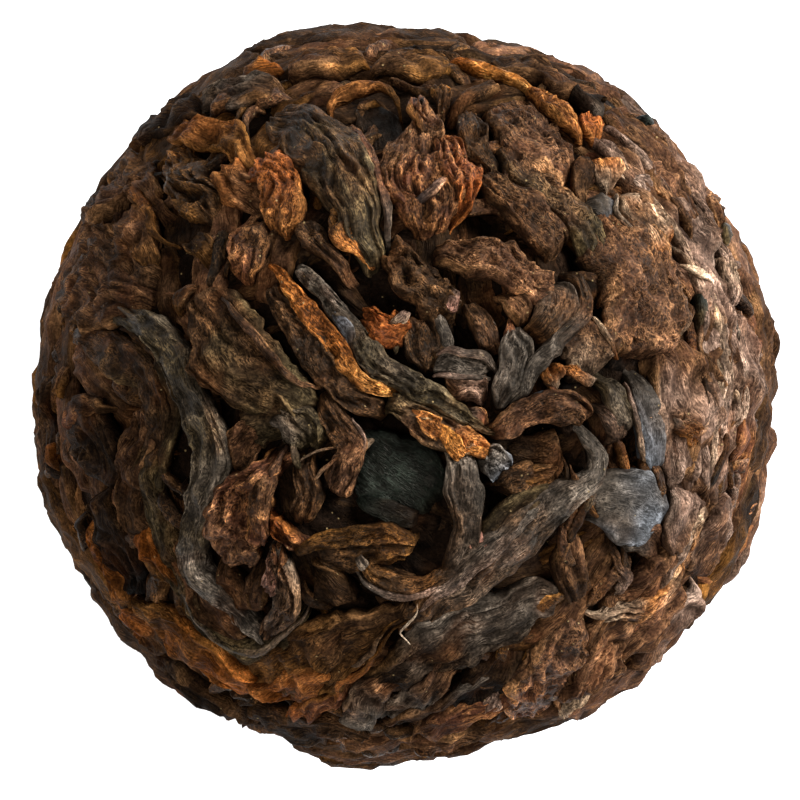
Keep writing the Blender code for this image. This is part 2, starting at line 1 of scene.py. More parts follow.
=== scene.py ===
"""Looks of a pu-erh tea pearl: a hand-rolled ball of dried, fermented tea leaves.

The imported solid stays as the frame. The leaves themselves replace it here: each one is a closed,
creased surface laid over a dark core, worked out in numpy from the same plan as the solid's.
Lengths are in millimetres, and a mesh is turned to metres as it is made.
"""

import itertools
import logging
import math
from dataclasses import dataclass, field
from enum import Enum
from typing import Iterable, Iterator, Sequence

import bpy
import numpy as np
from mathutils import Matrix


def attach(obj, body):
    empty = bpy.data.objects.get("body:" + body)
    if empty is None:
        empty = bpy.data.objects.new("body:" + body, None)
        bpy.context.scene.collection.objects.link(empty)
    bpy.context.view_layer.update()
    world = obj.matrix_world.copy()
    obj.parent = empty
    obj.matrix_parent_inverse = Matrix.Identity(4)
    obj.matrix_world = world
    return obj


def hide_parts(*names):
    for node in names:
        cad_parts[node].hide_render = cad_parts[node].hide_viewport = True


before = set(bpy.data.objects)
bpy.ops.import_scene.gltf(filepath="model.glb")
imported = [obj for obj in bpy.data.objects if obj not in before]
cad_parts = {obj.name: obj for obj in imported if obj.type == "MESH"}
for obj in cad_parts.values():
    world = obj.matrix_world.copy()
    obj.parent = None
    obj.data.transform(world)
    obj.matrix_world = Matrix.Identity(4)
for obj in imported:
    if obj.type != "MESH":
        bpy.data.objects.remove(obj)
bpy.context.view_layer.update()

LOG = logging.getLogger("tea_pearl")
MM = 0.001
NODE = "tea_pearl"

Array = np.ndarray
Place = tuple[float, float, float]

NOISE_GAIN = 1.6             # brings a sum of slopes to about -1 to 1
GOLDEN_ANGLE = 2.39996       # radians: steps of it spread places evenly round the ball
COURSE_TURN = 1.6            # radians that the leaves' course turns by for a noise of one
RING_COUNTS = (8, 180)       # fewest and most rings along a blade
RING_PLACES = (12, 64)       # fewest and most places round a ring
HEM_PLACE = 0.84             # where a blade's hem is highest, as a share of the half width
HEM_SPREAD = 0.13            # the hem's reach to each side, as the same share
TORN_REACH = 0.6             # millimetres from a blade's end in which it is torn
DARK_STAIN = 0.45            # share of dark in the stains that lie across the leaves
RUST_STAIN = 0.22            # share of rust in theirs
WARM_STAIN = 0.4             # share of warmer colour in an edge's patches
WARM_EDGE = (1.28, 1.06, 0.78)


def linear(code: str) -> tuple[float, float, float]:
    """Turn an sRGB hex colour to linear light.

    Args:
        code: six hex digits.

    Returns:
        Red, green and blue in linear light: below the knee a straight line, above it a power.
    """
    shares = [int(code[k:k + 2], 16) / 255.0 for k in (0, 2, 4)]
    red, green, blue = (c / 12.92 if c <= 0.04045 else ((c + 0.055) / 1.055) ** 2.4 for c in shares)
    return red, green, blue


def smooth_step(low: float, high: float, value: Array) -> Array:
    """Rise smoothly from 0 at low to 1 at high, as 3 t squared less 2 t cubed."""
    t = np.clip((value - low) / (high - low), 0.0, 1.0)
    return t * t * (3.0 - 2.0 * t)


class Hue(Enum):
    """Colours of dry fermented leaf: a blade's body, then its thin edges and ridges, also used for their
    painted glow and highlight.
    """

    # The two darkest: the darkest leaves' own colours, and the painted shade of sheets laid in hollows
    # and gaps and of leaves lying under others
    PITCH = ("0d0a08", "2a1e16")
    CHAR = ("1c130d", "48331e")
    DARK = ("2c1d12", "67482c")
    OLIVE = ("30271a", "6c5a3c")
    UMBER = ("3e2814", "7c5226")
    GREY = ("3b332b", "7c6f61")
    # Bluish grey: partly the leaves' own grey, partly a painted sheen of white light off smooth leaves
    SLATE = ("4c4e51", "8c9095")
    BROWN = ("40291b", "86603e")
    CHESTNUT = ("4e3324", "946a46")
    RUSSET = ("523022", "a6713f")
    RUST = ("6c3618", "ac6630")
    AMBER = ("6e3e1c", "b67a42")
    GOLD = ("945824", "e0a058")
    TAN = ("78604a", "c2a482")
    PINK = ("7a5344", "c2927c")
    GREEN = ("171b16", "30362e")
    CREAM = ("c8a888", "e8d4b8")
    CLAY = ("60493c", "a88c78")
    BUFF = ("6c5542", "b2977a")
    SIENNA = ("643512", "a6622c")

    @property
    def body(self) -> Array:
        """Linear colour of the blade."""
        return np.array(linear(self.value[0]))

    @property
    def edge(self) -> Array:
        """Linear colour of the blade's edges and ridges, also used for their painted glow and highlight.
        """
        return np.array(linear(self.value[1]))


@dataclass(frozen=True)
class Crease:
    """How a blade dried: sizes of its folds and wrinkles, in millimetres."""

    fold: float             # height of the long folds
    fold_width: float       # their spacing across the blade
    fold_length: float      # their spacing along it
    sharp: float            # 0 makes puffs between sharp valleys, 1 sharp ridges between hollows
    wrinkle: float          # height of the fine wrinkles
    wrinkle_width: float
    wrinkle_length: float
    fullness: float = 0.7   # section's power: 1 is a half ellipse, less is flatter with steep edges
    hem: float = 0.05       # height of the rolled edges
    sway: float = 0.10      # how far the ridge wanders up, down and aside
    twist: float = 0.0      # how far the folds run across for each millimetre along
    rag: float = 0.16       # unevenness of the edges, as a share of the half width
    fleck: float = 0.15     # how many pale flecks show
    crush: float = 0.12     # how far it is crushed together with its neighbours


class Make(Enum):
    """Ways in which the leaves dried."""

    PRESSED = Crease(0.19, 0.62, 4.2, 0.50, 0.05, 0.34, 1.00, 0.40, hem=0.06, fleck=0.02)
    ROLLED = Crease(0.22, 0.38, 4.5, 0.65, 0.05, 0.24, 0.90, 0.58, hem=0.07, twist=0.10, fleck=0.02,
                    crush=0.15)
    FIBROUS = Crease(0.20, 0.44, 3.4, 0.60, 0.10, 0.26, 0.55, 0.48, hem=0.08, rag=0.24, fleck=0.06,
                     crush=0.16)
    CRUMPLED = Crease(0.32, 0.46, 2.4, 0.80, 0.14, 0.26, 0.50, 0.45, hem=0.12, sway=0.20, rag=0.36,
                      fleck=0.05, crush=0.26)
    CUPPED = Crease(0.16, 0.55, 2.6, 0.5, 0.07, 0.26, 0.60, 0.4, hem=0.26, rag=0.2, crush=0.16)
    SMOOTH = Crease(0.09, 0.70, 3.4, 0.4, 0.02, 0.30, 1.2, 0.42, hem=0.04, rag=0.18, fleck=0.02,
                    crush=0.10)
    FLAKY = Crease(0.17, 0.55, 2.8, 0.6, 0.09, 0.28, 0.45, 0.42, rag=0.3, fleck=0.1, crush=0.17)
    WOUND = Crease(0.20, 0.85, 4.2, 0.4, 0.05, 0.50, 1.40, 0.48, rag=0.12, fleck=0.0, crush=0.14)
    BAND = Crease(0.25, 0.55, 4.0, 0.50, 0.06, 0.32, 1.10, 0.50, sway=0.18, rag=0.30, fleck=0.02,
                  crush=0.21)
    SHEET = Crease(0.17, 0.27, 3.0, 0.7, 0.07, 0.20, 0.60, 0.30, hem=0.03, sway=0.05, rag=0.30,
                   fleck=0.02, crush=0.11)


class Weave:
    """Repeatable gradient noise, worked out for whole arrays of points."""

    def __init__(self, seed: int) -> None:
        """Draw the table of slopes.

        Args:
            seed: number that fixes the pattern.
        """
        chance = np.random.default_rng(seed)
        self.order = chance.permutation(256)
        slopes = chance.normal(size=(256, 3))
        self.slopes = slopes / np.linalg.norm(slopes, axis=1, keepdims=True)

    def at(self, x: Array, y: Array, z: Array | float = 0.0) -> Array:
        """Noise of about -1 to 1 with cells of one unit.

        Each corner of a cell has a random slope. The value is the sum over the eight corners of
        the slope dotted with the offset from it, eased by 6 t^5 - 15 t^4 + 10 t^3 on each axis.

        Args:
            x: first coordinates.
            y: second coordinates.
            z: third coordinates, or one number.

        Returns:
            Noise of the coordinates' shape.
        """
        x, y, z = np.broadcast_arrays(x, y, z)
        cells = [np.floor(c).astype(np.int64) for c in (x, y, z)]
        local = [c - k for c, k in zip((x, y, z), cells)]
        ease = [t * t * t * (t * (t * 6.0 - 15.0) + 10.0) for t in local]
        total = np.zeros(x.shape)
        for corner in itertools.product((0, 1), repeat=3):
            key = np.zeros(x.shape, dtype=np.int64)
            for cell, step in zip(cells, corner):
                key = self.order[(key + cell + step) & 255]
            slope = self.slopes[key]
            weight = np.ones(x.shape)
            rise = np.zeros(x.shape)
            for axis, step in enumerate(corner):
                weight = weight * (ease[axis] if step else 1.0 - ease[axis])
                rise = rise + slope[..., axis] * (local[axis] - step)
            total += weight * rise
        return total * NOISE_GAIN


WEAVE = Weave(11)


@dataclass(frozen=True)
class BallForm:
    """The ball's own shape, with the same sizes as the solid's."""

    radius: float = 12.5
    centre_height: float = 12.0
    core: float = 11.9                      # radius of the mass under the leaves
    eye_height: float = 110.0               # the camera's height above the ball's centre
    knot_depth: float = 1.0
    knot_reach: float = 4.6
    knot_centre: tuple[float, float] = (1.4, 0.2)
    foot_reach: float = 17.0                # half angle of the filled spot underneath, in degrees
    foot_fade: float = 6.0                  # degrees in which the filling runs out
    foot_radius: float = 12.45
    # Lumps of the outline: bearing and spread in degrees, and height
    lumps: tuple[Place, ...] = (
        (116.0, 13.0, 0.40), (84.0, 8.0, -0.24), (54.0, 9.0, 0.20), (38.0, 7.0, -0.12),
        (8.0, 7.0, 0.12), (-24.0, 5.0, 0.14), (-73.0, 9.0, -0.46), (-103.0, 6.0, 0.22),
        (-114.0, 5.0, -0.34), (-40.0, 9.0, -0.08), (155.0, 8.0, -0.12), (212.0, 12.0, -0.08))
    # Gaps between leaves, sunk in the core: plan place, reach and depth
    gaps: tuple[tuple[float, float, float, float], ...] = (
        (-0.4, -2.9, 1.7, 1.6), (4.2, -2.8, 1.4, 1.3), (2.6, 5.9, 1.0, 1.1), (-0.5, 9.1, 0.7, 0.8),
        (6.4, 4.4, 0.9, 0.9), (2.4, 2.4, 1.3, 1.2), (4.9, 0.0, 1.0, 1.0), (-6.9, -4.9, 0.8, 0.7),
        (-9.7, -1.5, 0.8, 0.6), (-5.6, -0.5, 0.7, 0.8), (7.6, -6.0, 1.0, 0.8), (1.7, -10.2, 0.8, 0.7),
        (-5.5, -6.9, 0.7, 0.7), (-2.9, -7.8, 0.9, 0.7), (7.1, -1.8, 0.8, 0.8), (-1.0, 1.0, 0.8, 0.7))

    def girth(self, bearing: Array) -> Array:
        """Height of the outline's lumps: a sum of bell curves over the bearing in degrees."""
        rise = np.zeros(np.shape(bearing))
        for centre, spread, height in self.lumps:
            offset = (bearing - centre + 180.0) % 360.0 - 180.0
            rise = rise + height * np.exp(-((offset / spread) ** 2))
        return rise

    def swell(self, x: Array, y: Array) -> Array:
        """Scale of the ball at a plan place: one plus the lumps by the fourth power of the reach."""
        reach = np.minimum(np.hypot(x, y) / self.radius, 1.0)
        return 1.0 + self.girth(np.degrees(np.arctan2(y, x))) / self.radius * reach ** 4

    def knot_drop(self, x: Array, y: Array) -> Array:
        """Depth of the gathered knot's hollow: a bell curve round the knot."""
        away = np.hypot(x - self.knot_centre[0], y - self.knot_centre[1])
        return self.knot_depth * np.exp(-((away / self.knot_reach) ** 2))

    def spot(self, plan: Sequence[Place]) -> Array:
        """Points of the ball under plan places, as seen from the eye.

        A line runs from the eye, straight above the centre, through each plan place to the ball
        of the radius plus the lift less the knot's hollow. It stops where it grazes the ball.

        Args:
            plan: places across, up the picture, and the lift above the pressed surface.

        Returns:
            Points from the ball's centre.
        """
        x, y, lift = np.array(plan, dtype=float).T
        scale = self.swell(x, y)
        radius = self.radius + lift - self.knot_drop(x, y)
        a = (np.hypot(x, y) / scale) ** 2 + self.eye_height ** 2
        under_root = self.eye_height ** 4 - a * (self.eye_height ** 2 - radius ** 2)
        t = (self.eye_height ** 2 - np.sqrt(np.maximum(under_root, 0.0))) / a
        return np.column_stack((x * t, y * t, self.eye_height * (1.0 - t) * scale))

    def core_radius(self, way: Array) -> Array:
        """Radius of the core towards unit vectors: lumpy, with its knot, gaps and filled foot."""
        bearing = np.degrees(np.arctan2(way[..., 1], way[..., 0]))
        radius = self.core + self.girth(bearing) * np.hypot(way[..., 0], way[..., 1]) ** 4
        x, y = way[..., 0] * self.radius, way[..., 1] * self.radius
        drop = self.knot_drop(x, y)
        for gap_x, gap_y, reach, depth in self.gaps:
            drop = drop + depth * np.exp(-(((x - gap_x) ** 2 + (y - gap_y) ** 2) / reach ** 2))
        radius = radius - np.where(way[..., 2] > 0.0, drop, 0.0)
        under = np.degrees(np.arccos(np.clip(-way[..., 2], -1.0, 1.0)))
        fill = np.clip((self.foot_reach + self.foot_fade - under) / self.foot_fade, 0.0, 1.0)
        return radius + (self.foot_radius - radius) * fill


BALL = BallForm()


def closer_at_ends(share: Array) -> Array:
    """Draw shares from 0 to 1 closer together towards both ends: each less a small sine."""
    return share - 0.06 * np.sin(2.0 * math.pi * share)


def smooth_path(points: Array, count: int) -> tuple[Array, float]:
    """Steps of a Catmull-Rom curve, closer together towards its ends.

    Args:
        points: places that the curve passes through.
        count: how many places are wanted.

    Returns:
        The places, and the curve's length. Between two points the curve is half of the cubic
        2b + (c - a) t + (2a - 5b + 4c - d) t^2 + (3b - a - 3c + d) t^3 on their neighbours.
    """
    knots = np.vstack((2 * points[0] - points[1], points, 2 * points[-1] - points[-2]))
    t = np.linspace(0.0, 1.0, 16, endpoint=False)[None, :, None]
    a, b, c, d = (knots[k:len(knots) - 3 + k, None, :] for k in range(4))
    curve = 0.5 * (2 * b + (c - a) * t + (2 * a - 5 * b + 4 * c - d) * t ** 2
                   + (3 * b - a - 3 * c + d) * t ** 3)
    curve = np.vstack((curve.reshape(-1, 3), points[-1]))
    along = np.concatenate(([0.0], np.cumsum(np.linalg.norm(np.diff(curve, axis=0), axis=1))))
    steps = along[-1] * closer_at_ends(np.linspace(0.0, 1.0, count))
    return np.column_stack([np.interp(steps, along, curve[:, k]) for k in range(3)]), along[-1]


@dataclass
class Patch:
    """One closed surface and what its points carry for the finish."""

    points: Array
    quads: Array
    corners: Array
    chart: Array
    body: Array
    edge: Array
    rim: Array
    relief: Array
    fleck: Array


@dataclass
class Leaf:
    """One dried blade: a closed section carried along its ridge.

    The section's top is a crown with folds and wrinkles, and its underside reaches down by the
    root. Both meet in the blade's two uneven edges. Wherever a noise is read, each distance is
    over the noise's size in millimetres, and the seed picks the blade's own part of it.
    """

    ridge: Array
    widths: Sequence[float]
    crown: float
    make: Make
    hues: tuple[Hue, Hue]
    seed: float
    root: float = 0.5
    step: float = 0.09                      # size of a face
    blunt: float = 0.22
    sink: tuple[float, float] = (0.8, 0.8)
    sink_reach: float = 0.9                 # distance from an end in which it dives
    lean: float = 0.0

    @staticmethod
    def section(count: int) -> tuple[Array, Array]:
        """Angles round the section, closer together over the top, and which of them are above."""
        below = max(count // 5, 3)
        top = np.linspace(0.0, math.pi, count - below + 1)
        under = np.linspace(math.pi, 2.0 * math.pi, below + 1)[1:-1]
        angles = np.concatenate((top, under))
        return angles, angles <= math.pi + 1e-9

    def folds(self, along: Array, across: Array) -> tuple[Array, Array]:
        """Relief of the blade in millimetres, and the same as a share from -1 to 1.

        Long folds follow the root of the size of a noise drawn out along the blade, as puffs
        between sharp valleys, and turned over as sharp ridges. The make says how much of each.
        Pleats are flat facets between them: the distance of a bent lane from the nearest whole.
        Fine wrinkles are ridges: one less the size of a finer noise. A slow noise bends them all.

        Args:
            along: distance along the blade.
            across: distance across it.

        Returns:
            Height, and height as a share of its own range.
        """
        make = self.make.value
        lane = across + make.twist * along
        bend = 0.35 * WEAVE.at(along / 1.3, across / 0.9, self.seed * 3.1)
        bend_along = 0.5 * WEAVE.at(along / 1.1, across / 0.7, self.seed * 5.3 + 9.0)
        fold = WEAVE.at(along / make.fold_length + bend_along,
                        lane / make.fold_width + bend, self.seed * 7.7)
        size = np.abs(fold)
        puff = np.sqrt(size + 0.002) * 1.9 - 1.0
        crest = 1.15 - 1.9 * (size + 0.001) ** 0.6
        phase = lane / (1.7 * make.fold_width) + 2.2 * bend + 1.2 * WEAVE.at(
            along / (0.5 * make.fold_length), across / 1.2, self.seed * 9.7)
        pleat = 4.0 * np.abs(phase - np.round(phase)) - 1.0
        shaped = 0.65 * ((1.0 - make.sharp) * puff + make.sharp * crest) + 0.5 * pleat
        fine = WEAVE.at(along / make.wrinkle_length + bend_along,
                        lane / make.wrinkle_width + 2.0 * bend, self.seed * 2.3 + 40.0)
        finer = WEAVE.at(along / (0.5 * make.wrinkle_length),
                         lane / (0.55 * make.wrinkle_width) + 2.0 * bend, self.seed * 4.9 + 70.0)
        wrinkle = 0.9 - 3.0 * np.abs(fine) + 0.7 * finer
        slim = min(1.0, max(self.widths) / 0.8)
        height = slim * (make.fold * shaped + make.wrinkle * wrinkle)
        return height, np.clip(height / (make.fold + make.wrinkle), -1.0, 1.0)

    def dive(self, path: Array, length: float) -> Array:
        """Sink both ends of the ridge under the neighbours, as a smooth step of the distance left.

        Args:
            path: places along the ridge.
            length: its length.

        Returns:
            The places with both ends lowered.
        """
        share = np.linspace(0.0, 1.0, len(path))
        near = min(self.sink_reach / length, 0.4)
        drop = (self.sink[0] * (1.0 - smooth_step(0.0, near, share))
                + self.sink[1] * smooth_step(1.0 - near, 1.0, share))
        return path * (1.0 - drop / np.linalg.norm(path, axis=1))[:, None]

    def sway(self, path: Array, side: Array, out: Array, length: float) -> Array:
        """Let the ridge wander aside and up by two slow noises of the distance along it."""
        along = np.linspace(0.0, length, len(path))
        amount = self.make.value.sway * min(1.0, max(self.widths))
        aside = amount * 1.3 * WEAVE.at(along / 1.3, along * 0.0 + 4.4, self.seed * 3.7)
        up = amount * WEAVE.at(along / 0.9, along * 0.0 + 8.8, self.seed * 6.7)
        return path + side * aside[:, None] + out * up[:, None]

    def course(self, steps: int) -> tuple[Array, Array, Array, Array, float]:
        """Places along the ridge, its headings along, aside and outwards, and its length."""
        path, length = smooth_path(self.ridge, steps)
        path = self.dive(path, length)
        tangent = np.gradient(path, axis=0)
        tangent /= np.linalg.norm(tangent, axis=1, keepdims=True)
        out = path / np.linalg.norm(path, axis=1, keepdims=True)
        side = np.cross(tangent, out)
        side /= np.linalg.norm(side, axis=1, keepdims=True)
        return self.sway(path, side, out, length), tangent, side, out, length

    def colours(self, points: Array, along: Array, girdle: Array, share: Array) -> tuple[Array, Array]:
        """Colours of the blade's body, and of its edges and ridges.

        The first hue passes to the second from end to end, in patches. Three noises make both
        lighter or darker. Stains of rust and of dark lie across the body, and some of the edge is
        warmer.

        Args:
            points: places of the surface.
            along: distance along the blade.
            girdle: distance round it.
            share: share of its length.

        Returns:
            Body and edge colours in linear light.
        """
        patchy = WEAVE.at(along / 1.5, girdle / 1.1, self.seed * 6.1 + 20.0)
        blend = smooth_step(0.1, 0.9, share[:, None] + 0.55 * patchy)[..., None]
        x, y, z = (points[..., k] for k in range(3))
        shade = np.exp(0.6 * WEAVE.at(along / 0.8, girdle / 0.6, self.seed * 8.3 + 31.0)
                       + 0.6 * WEAVE.at(along / 0.3, girdle / 0.22, self.seed * 1.3)
                       + 0.55 * WEAVE.at(x / 2.4, y / 2.4, z / 2.4))[..., None]
        warm = WARM_STAIN * smooth_step(0.15, 0.6, WEAVE.at(along / 0.9, girdle / 0.7, self.seed * 2.1))
        body = self.hues[0].body * (1.0 - blend) + self.hues[1].body * blend
        dark = smooth_step(-0.1, 0.6, WEAVE.at(x / 1.7, y / 1.7, z / 1.7 + 50.0))
        stain = DARK_STAIN * dark[..., None]
        rusty = 0.0 if self.make is Make.SMOOTH else RUST_STAIN
        rust = rusty * smooth_step(0.1, 0.6, WEAVE.at(x / 1.2 + 70.0, y / 1.2, z / 1.2))[..., None]
        body = body * (1.0 - rust) + Hue.SIENNA.body * 0.8 * rust
        body = (body * (1.0 - stain) + Hue.DARK.body * stain) * shade
        edge = self.hues[0].edge * (1.0 - blend) + self.hues[1].edge * blend
        edge = (edge * (1.0 - warm[..., None]) + edge * WARM_EDGE * warm[..., None]) * shade
        return body, edge

    def patch(self) -> Patch:
        """Work out the blade's surface.

        A point is the ridge less the crown, plus the side direction by the half width by the
        cosine of the angle, plus the outward direction by the crown by a power of its sine above,
        or by the root below. The width shrinks to the ends as a power of the sine of the share.
        A hem is a bell curve beside each edge, and the section leans to and fro as it goes.
        Both ends are torn: their places shift along the blade by a noise of the place across.

        Returns:
            The closed surface, faces outwards, with its poles at both ends.
        """
        make = self.make.value
        rough = float(np.linalg.norm(np.diff(self.ridge, axis=0), axis=1).sum())
        rings = int(np.clip(round(rough / self.step), *RING_COUNTS))
        path, tangent, side, out, length = self.course(rings + 1)
        share = closer_at_ends(np.linspace(0.0, 1.0, rings + 1))
        girth = max(self.widths) * 1.3 + 2.0 * self.crown
        angles, above = self.section(int(np.clip(round(1.3 * girth / self.step), *RING_PLACES)))
        wave = np.interp(share * (len(self.widths) - 1), range(len(self.widths)), self.widths)
        taper = np.sin(math.pi * share) ** self.blunt
        taper[[0, -1]] = 0.0
        along = (share * length)[:, None]
        cosine, sine = np.cos(angles)[None, :], np.sin(angles)[None, :]
        hand = np.sign(cosine)
        uneven = (WEAVE.at(along / 0.9, hand * 3.3 + 5.0, self.seed * 1.7)
                  + 0.6 * WEAVE.at(along / 0.33, hand * 4.1 + 9.0, self.seed * 2.9))
        half = 0.5 * (wave * taper)[:, None] * (1.0 + make.rag * uneven)
        across = half * cosine
        turn = 2.0 * angles[None, :] / math.pi
        girdle = (half + self.crown) * np.where(above[None, :], 1.0 - turn, turn - 3.0)
        height, relief = self.folds(along, girdle)
        rise = np.abs(sine)
        reach = np.abs(cosine) + 0.0 * along
        hem_and_glow_patches = smooth_step(-0.1, 0.5, WEAVE.at(along / 1.4, hand * 2.0 + 15.0, self.seed * 9.1))
        hem_height = make.hem * min(1.0, max(self.widths)) * (0.4 + hem_and_glow_patches)
        hem = hem_height * np.exp(-((reach - HEM_PLACE) / HEM_SPREAD) ** 2)
        tilt = self.lean + 0.35 * WEAVE.at(along / 2.2, 0.0 * along + 2.0, self.seed * 4.3)
        top = (self.crown * np.sqrt(taper)[:, None] * rise ** make.fullness
               + tilt * across * taper[:, None]
               + (height * (rise ** 0.5) + hem) * taper[:, None])
        under = -self.root * taper[:, None] * rise ** 0.7
        lift = np.where(above[None, :], top, under) - self.crown
        points = (path[:, None, :] + side[:, None, :] * across[..., None]
                  + out[:, None, :] * lift[..., None])
        torn = 1.4 * make.rag * (WEAVE.at(across / 0.34, across * 0.0 + 3.0, self.seed * 2.7)
                                 + 0.4 * WEAVE.at(across / 0.2, along / 0.5, self.seed * 5.7))
        torn = torn * (1.0 - smooth_step(0.0, TORN_REACH, np.minimum(along, length - along)))
        points = points + tangent[:, None, :] * torn[..., None]
        # Where the finish paints a glow of warm light let through the thin edges: near both edges, in
        # patches, weaker underneath
        rim = smooth_step(0.74, 0.98, reach) * hem_and_glow_patches * np.where(above[None, :], 1.0, 0.3)
        # The underside gets a low relief, so the finish paints it dark as painted shade under the blade
        relief = np.where(above[None, :], relief, -0.8)
        chart = np.stack((along + 0.0 * across + 13.7 * self.seed, girdle + 5.1 * self.seed), -1)
        body, edge = self.colours(points, along, girdle, share)
        fleck = np.full(relief.shape, make.fleck)
        return close_ends(crumple(points, make.crush), chart, body, edge, rim, relief, fleck)


def crumple(points: Array, amount: float) -> Array:
    """Crush the leaves together: shift every place by two slow noises of the place itself.

    The shift has three parts, each a noise with cells of 1.3 mm and a smaller one of 0.45 mm.

    Args:
        points: places from the ball's centre.
        amount: about how far they shift.

    Returns:
        The shifted places.
    """
    x, y, z = (points[..., k] for k in range(3))
    shift = [WEAVE.at((x + o) / 1.3, (y - o) / 1.3, z / 1.3)
             + 0.35 * WEAVE.at((x - o) / 0.45, (y + o) / 0.45, z / 0.45) for o in (0.0, 31.7, 63.1)]
    return points + amount * np.stack(shift, -1)


def close_ends(points: Array, chart: Array, *carried: Array) -> Patch:
    """Turn a grid of rings, whose first and last ring are each one place, to a closed surface.

    Args:
        points: rings by places round them.
        chart: two coordinates for each place, for patterns that follow the blade.
        carried: colours and shares for each place.

    Returns:
        The surface: one pole, the rings, the other pole, with four-sided faces between rings.
    """
    rings, count = points.shape[:2]

    def flat(values: Array) -> Array:
        """One row for each place: the first pole, the inner rings, the last pole."""
        tail = values.shape[2:]
        return np.concatenate((values[0, :1], values[1:-1].reshape((-1,) + tail), values[-1, :1]))

    inner = rings - 2
    start = 1 + np.arange(inner - 1)[:, None] * count
    here = np.arange(count)[None, :]
    ahead = (here + 1) % count
    quads = np.stack((start + here, start + count + here, start + count + ahead, start + ahead), -1)
    last = 1 + inner * count
    first_ring, last_ring = 1 + here[0], 1 + (inner - 1) * count + here[0]
    head = np.stack((np.zeros(count, int), first_ring, 1 + ahead[0]), -1)
    tail = np.stack((last_ring, np.full(count, last), 1 + (inner - 1) * count + ahead[0]), -1)
    return Patch(flat(points), quads.reshape(-1, 4), np.vstack((head, tail)), flat(chart),
                 *(flat(values) for values in carried))


@dataclass
class Bundle:
    """Many closed surfaces that make one piece."""

    name: str
    patches: list[Patch] = field(default_factory=list)

    def add(self, patch: Patch) -> None:
        """Add one surface."""
        self.patches.append(patch)

    def build(self, material: bpy.types.Material) -> None:
        """Make the piece, which rides on the ball's body and stands for its solid.

        Args:
            material: finish of the piece.
        """
        starts = np.cumsum([0] + [len(p.points) for p in self.patches])
        quads = np.vstack([p.quads + s for p, s in zip(self.patches, starts)])
        threes = np.vstack([p.corners + s for p, s in zip(self.patches, starts)])
        points = np.vstack([p.points for p in self.patches])
        points = points + np.array((0.0, 0.0, BALL.centre_height))
        points[:, 2] = np.maximum(points[:, 2], 0.0)
        mesh = bpy.data.meshes.new(self.name)
        corners = np.concatenate((quads.ravel(), threes.ravel()))
        sizes = np.concatenate((np.full(len(quads), 4), np.full(len(threes), 3)))
        mesh.vertices.add(len(points))
        mesh.loops.add(len(corners))
        mesh.polygons.add(len(sizes))
        mesh.vertices.foreach_set("co", (points * MM).ravel())
        mesh.loops.foreach_set("vertex_index", corners)
        mesh.polygons.foreach_set("loop_start", np.concatenate(([0], np.cumsum(sizes)[:-1])))
        mesh.polygons.foreach_set("use_smooth", np.ones(len(sizes), dtype=bool))
        chart = np.vstack([p.chart for p in self.patches])
        mesh.uv_layers.new(name="blade").data.foreach_set("uv", chart[corners].ravel())
        for label in ("body", "edge"):
            colour = np.vstack([getattr(p, label) for p in self.patches])
            colour = np.column_stack((np.clip(colour, 0.0, 1.0), np.ones(len(colour))))
            layer = mesh.attributes.new(label, "FLOAT_COLOR", "POINT")
            layer.data.foreach_set("color", colour.ravel())
        for label in ("rim", "relief", "fleck"):
            shares = np.concatenate([getattr(p, label) for p in self.patches])
            mesh.attributes.new(label, "FLOAT", "POINT").data.foreach_set("value", shares.ravel())
        mesh.materials.append(material)
        mesh.update(calc_edges=True)
        thing = bpy.data.objects.new(self.name, mesh)
        bpy.context.scene.collection.objects.link(thing)
        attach(thing, "root")
        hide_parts(NODE)
        triangles = 2 * len(quads) + len(threes)
        LOG.info("%s: %d surfaces, %d triangles", self.name, len(self.patches), triangles)


class NodeSheet:
    """A material's nodes, laid out from left to right as they are added."""

    def __init__(self, name: str) -> None:
        """Start a material with only its surface and output."""
        self.material = bpy.data.materials.new(name)
        self.material.use_nodes = True
        self.tree = self.material.node_tree
        self.surface = self.tree.nodes["Principled BSDF"]
        self.count = 0

    def add(self, kind: str, links: dict | None = None, **settings: object) -> bpy.types.Node:
        """Add one node.

        Args:
            kind: Blender's name for the node.
            links: for each input socket, by name or number, an output socket or a plain value.
            settings: attributes of the node itself.

        Returns:
            The node.
        """
        node = self.tree.nodes.new(kind)
        node.location = (-220.0 * (12 - self.count % 12), -300.0 * (self.count // 12))
        self.count += 1
        for key, value in settings.items():
            setattr(node, key, value)
        for socket, value in (links or {}).items():
            if isinstance(value, bpy.types.NodeSocket):
                self.tree.links.new(value, node.inputs[socket])
            else:
                node.inputs[socket].default_value = value
        return node

    def to_surface(self, socket: str, value: object) -> None:
        """Link or set an input of the surface."""
        if isinstance(value, bpy.types.NodeSocket):
            self.tree.links.new(value, self.surface.inputs[socket])
        else:
            self.surface.inputs[socket].default_value = value


